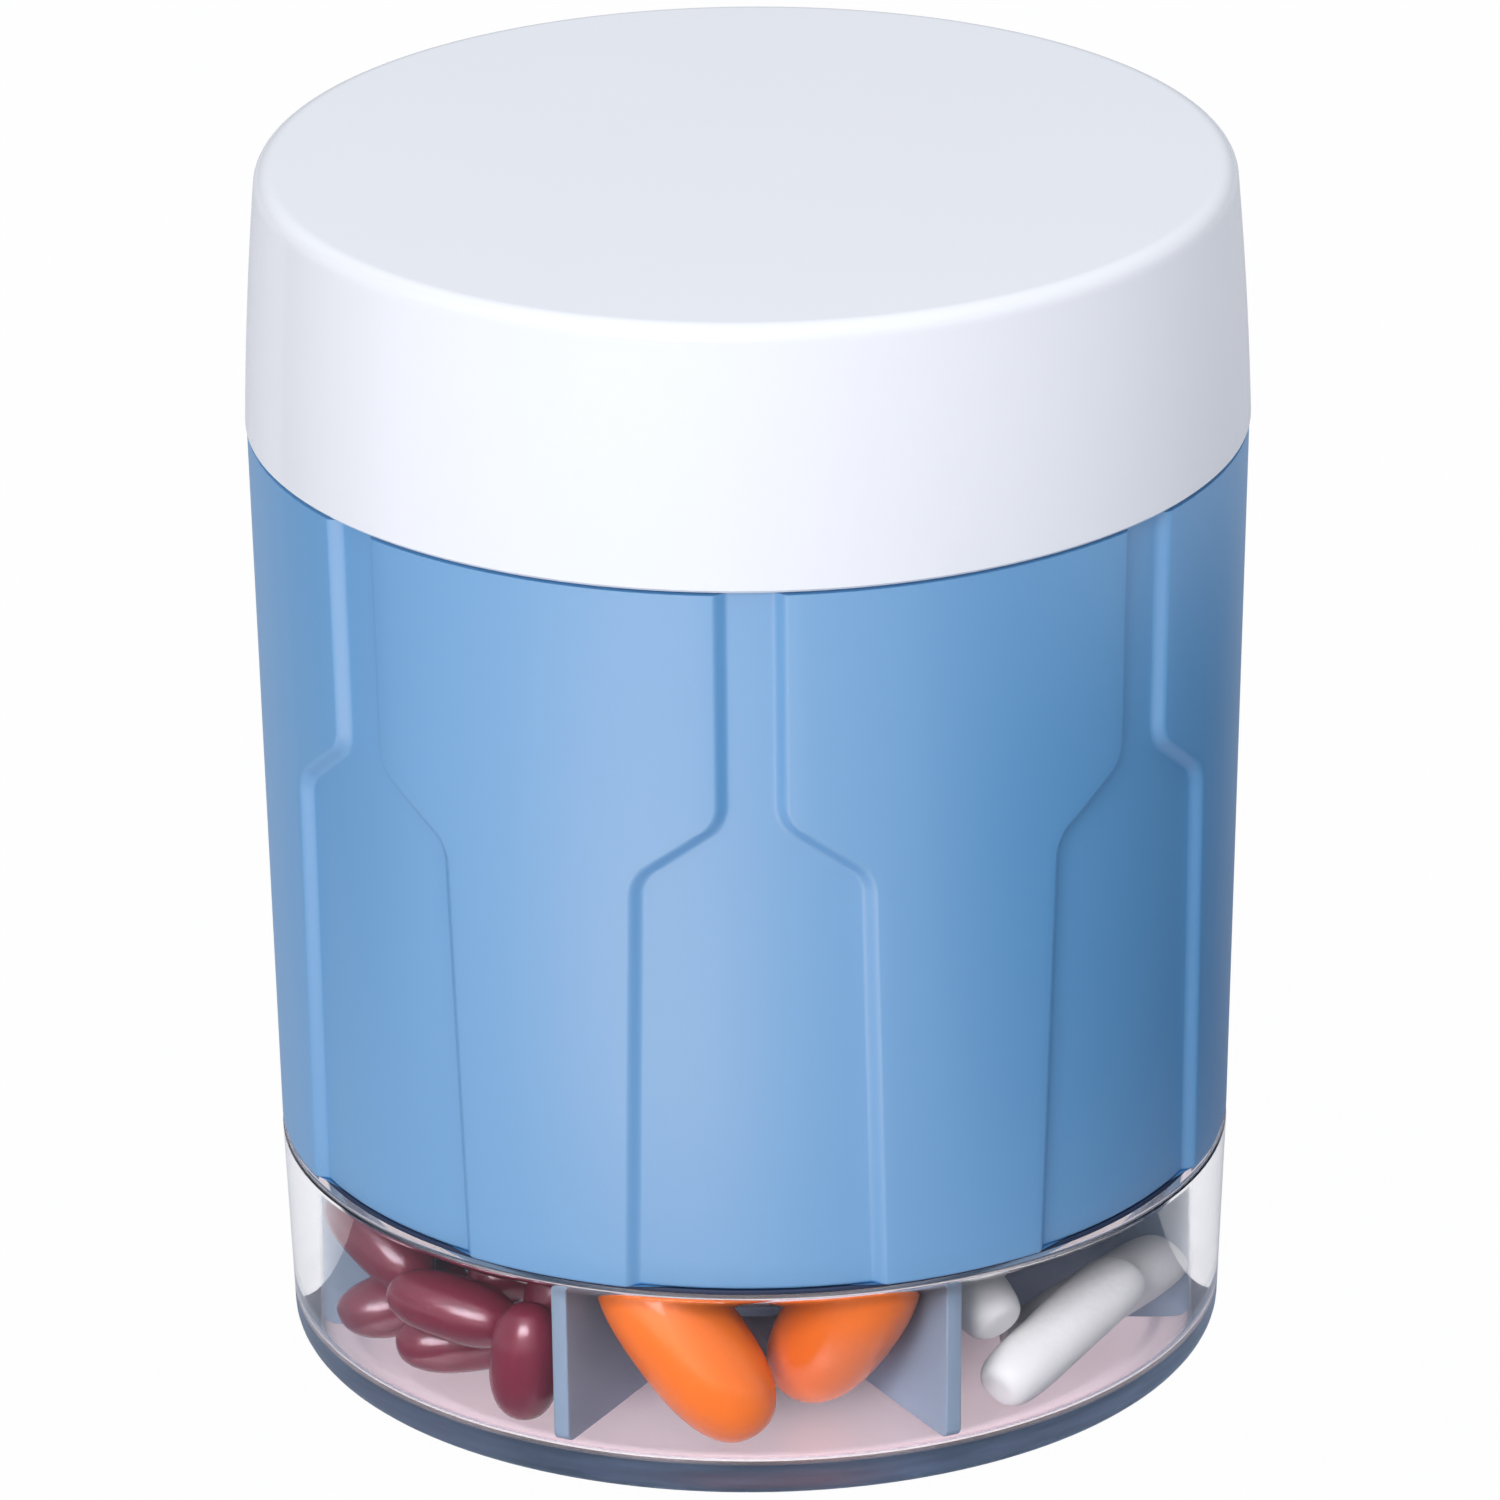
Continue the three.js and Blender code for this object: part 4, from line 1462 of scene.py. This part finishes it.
# Cards that the camera doesn't see. The dark and grey ones darken what gloss and the clear
# plastic reflect, and side_card also blocks light from the right. sheen_card paints a warm sheen
# on the casing's front and glint_card paints glints on the pills, both as painted reflections
# that light nothing.
CARDS = (
    Card("side_card", upright(0.09, -0.115, 0.05, 0.068), (0.06, 0.11, 0.18), shades=True),
    Card("grey_card", upright(-0.13, -0.03, 0.06, 0.3), (0.2, 0.2, 0.2)),
    Card(
        "front_card", ring(0.05, 0.1, 92), (0.04, 0.055, 0.09), in_gloss=False, in_glass=True
    ),
    Card("sheen_card", lying(-0.12, 0.0, -0.21, -0.105), (2.2, 1.65, 1.15)),
    Card(
        "glint_card", facing(0.6, -17, 23, 0.34, 0.2), (46.0, 46.0, 47.0),
        in_gloss=False, in_glass=True,
    ),
)


@dataclass
class Studio:
    """Floor, light and camera, in metres unless a value is a share."""

    floor_size: float = 8.0
    floor_gap: float = 0.05 * MM
    floor_colour: Colour = (0.66, 0.66, 0.69)
    floor_roughness: float = 0.6
    floor_glow: float = 0.98
    shade_inner: float = 0.012
    shade_outer: float = 0.034
    sky_colour: Colour = (0.92, 0.95, 1.0)
    bright_side: tuple[float, float, float] = (0.05, -0.1, 0.99)
    soft_low: float = 0.28
    soft_high: float = 1.2
    through_air: float = 0.3
    most_turns: int = 5
    key_place: tuple[float, float, float] = (-0.3, -0.85, 0.52)
    key_aim: tuple[float, float, float] = (0.0, 0.0, 0.06)
    key_size: tuple[float, float] = (0.4, 0.3)
    key_power: float = 4.05
    camera_place: tuple[float, float, float] = (-0.000122, -1.1185, 0.5157)
    camera_turn: tuple[float, float, float] = (1.18456722, 0.00876137, -0.00356278)
    lens: float = 288.0
    sensor: float = 36.0
    nearest_view: float = 0.05

    def camera(self) -> None:
        """Put the camera where the photograph was taken from."""
        data = bpy.data.cameras.new("camera")
        data.lens = self.lens
        data.sensor_width = self.sensor
        data.clip_start = self.nearest_view
        camera = bpy.data.objects.new("camera", data)
        camera.location = self.camera_place
        camera.rotation_euler = self.camera_turn
        bpy.context.scene.collection.objects.link(camera)
        bpy.context.scene.camera = camera

    def few(self, tree: Tree, count: Socket, most: int) -> Socket:
        """One where a ray's count of turns is at most a number, and zero elsewhere."""
        return compute(tree, "LESS_THAN", count, most + 0.5)

    def direct_look(self, tree: Tree, through_share: Socket | float) -> Socket:
        """Tell a straight look, also one through the clear plastic, from light that wanders.

        Args:
            tree: The node tree of the floor or of the world.
            through_share: How much a look through the clear plastic counts.

        Returns:
            One for a straight look and zero for light that a surface scattered before.
        """
        path = add_node(tree, "LightPath").outputs
        unscattered = self.few(tree, path["Diffuse Depth"], 0)
        share = compute(tree, "MULTIPLY", unscattered, through_share)
        through = compute(tree, "MULTIPLY", share, path["Is Transmission Ray"])
        return compute(tree, "MAXIMUM", path["Is Camera Ray"], through)

    def card(self, card: Card) -> None:
        """Put up one card, which the clear plastic sees only after few turns of a ray.

        Args:
            card: Where it is and what it does.
        """
        deselect_all()
        columns = len(card.rows[0]) - 1
        bpy.ops.mesh.primitive_grid_add(x_subdivisions=columns, y_subdivisions=1, size=1)
        piece = bpy.context.object
        piece.name = card.name
        for vertex in piece.data.vertices:
            row = card.rows[0 if vertex.co.y < 0 else 1]
            vertex.co = Vector(row[round((vertex.co.x + 0.5) * columns)])
        material, tree = new_material(card.name)
        glow = add_node(tree, "Emission", Color=(*card.colour, 1), Strength=1.0)
        show_surface(tree, glow.outputs["Emission"])
        if card.in_glass:
            path = add_node(tree, "LightPath").outputs
            unscattered = self.few(tree, path["Diffuse Depth"], 0)
            early = self.few(tree, path["Ray Depth"], self.most_turns)
            feed(tree, glow, Strength=compute(tree, "MULTIPLY", unscattered, early))
        piece.data.materials.append(material)
        piece.visible_camera = piece.visible_shadow = False
        piece.visible_glossy = card.in_gloss
        piece.visible_diffuse = card.shades
        piece.visible_transmission = card.in_glass

    def shade_below(self, tree: Tree) -> Socket:
        """Weaken the floor's glow under the middle of the object, which keeps light off it.

        Args:
            tree: The node tree of the floor.

        Returns:
            Zero under the middle and one from the object's edge outwards.
        """
        place = add_node(tree, "TexCoord").outputs["Object"]
        reach = add_node(tree, "VectorMath", place, operation="LENGTH").outputs["Value"]
        fade = add_node(
            tree, "MapRange", interpolation_type="SMOOTHSTEP", Value=reach,
            From_Min=self.shade_inner, From_Max=self.shade_outer,
        )
        return fade.outputs["Result"]

    def floor(self) -> None:
        """Lay a plain white floor that keeps the object's shadow."""
        deselect_all()
        bpy.ops.mesh.primitive_plane_add(size=self.floor_size, location=(0, 0, -self.floor_gap))
        floor = bpy.context.object
        floor.name = "floor"
        material, tree = new_material("floor_white")
        shader = tree.nodes["Principled BSDF"]
        feed(tree, shader, Base_Color=(*self.floor_colour, 1), Roughness=self.floor_roughness)
        glow = add_node(tree, "Emission", Color=WHITE, Strength=1.0).outputs["Emission"]
        look = self.direct_look(tree, self.shade_below(tree))
        share = compute(tree, "MULTIPLY", look, self.floor_glow)
        mix = add_node(tree, "MixShader", share, shader.outputs["BSDF"], glow)
        show_surface(tree, mix.outputs["Shader"])
        floor.data.materials.append(material)

    def world(self) -> None:
        """White surroundings to the eye and in reflections, softer as light."""
        world = bpy.data.worlds.new("studio")
        bpy.context.scene.world = world
        world.use_nodes = True
        tree = world.node_tree
        course = add_node(tree, "TexCoord").outputs["Generated"]
        towards = add_node(tree, "VectorMath", course, self.bright_side, operation="DOT_PRODUCT")
        level = add_node(
            tree, "MapRange", Value=towards.outputs["Value"],
            To_Min=self.soft_low, To_Max=self.soft_high,
        )
        soft = tree.nodes["Background"]
        feed(tree, soft, Color=(*self.sky_colour, 1), Strength=level.outputs["Result"])
        seen = add_node(tree, "Background", Color=WHITE, Strength=1.0).outputs[0]
        look = self.direct_look(tree, self.through_air)
        mix = add_node(tree, "MixShader", look, soft.outputs[0], seen)
        feed(tree, tree.nodes["World Output"], Surface=mix.outputs[0])

    def key_lamp(self) -> None:
        """Hang one soft rectangular lamp, which doesn't show through the clear plastic."""
        data = bpy.data.lights.new("key", "AREA")
        data.shape = "RECTANGLE"
        data.size, data.size_y = self.key_size
        data.energy = self.key_power
        lamp = bpy.data.objects.new("key", data)
        lamp.location = self.key_place
        lamp.visible_transmission = False
        back = Vector(self.key_place) - Vector(self.key_aim)
        lamp.rotation_euler = back.to_track_quat("Z", "Y").to_euler()
        bpy.context.scene.collection.objects.link(lamp)

    def build(self) -> None:
        """Build the floor, the light and the camera."""
        self.camera()
        self.floor()
        for card in CARDS:
            self.card(card)
        self.world()
        self.key_lamp()
        bpy.context.scene.view_settings.view_transform = "Standard"


def main() -> None:
    """Build every sub-assembly in order."""
    logging.basicConfig(level=logging.INFO, format="%(name)s: %(message)s")
    Studio().build()
    Casing().build()
    Lid().build()
    Base().build()
    Divider().build()
    PourDisc().build()
    Contents().build()


if __name__ == "__main__":
    main()
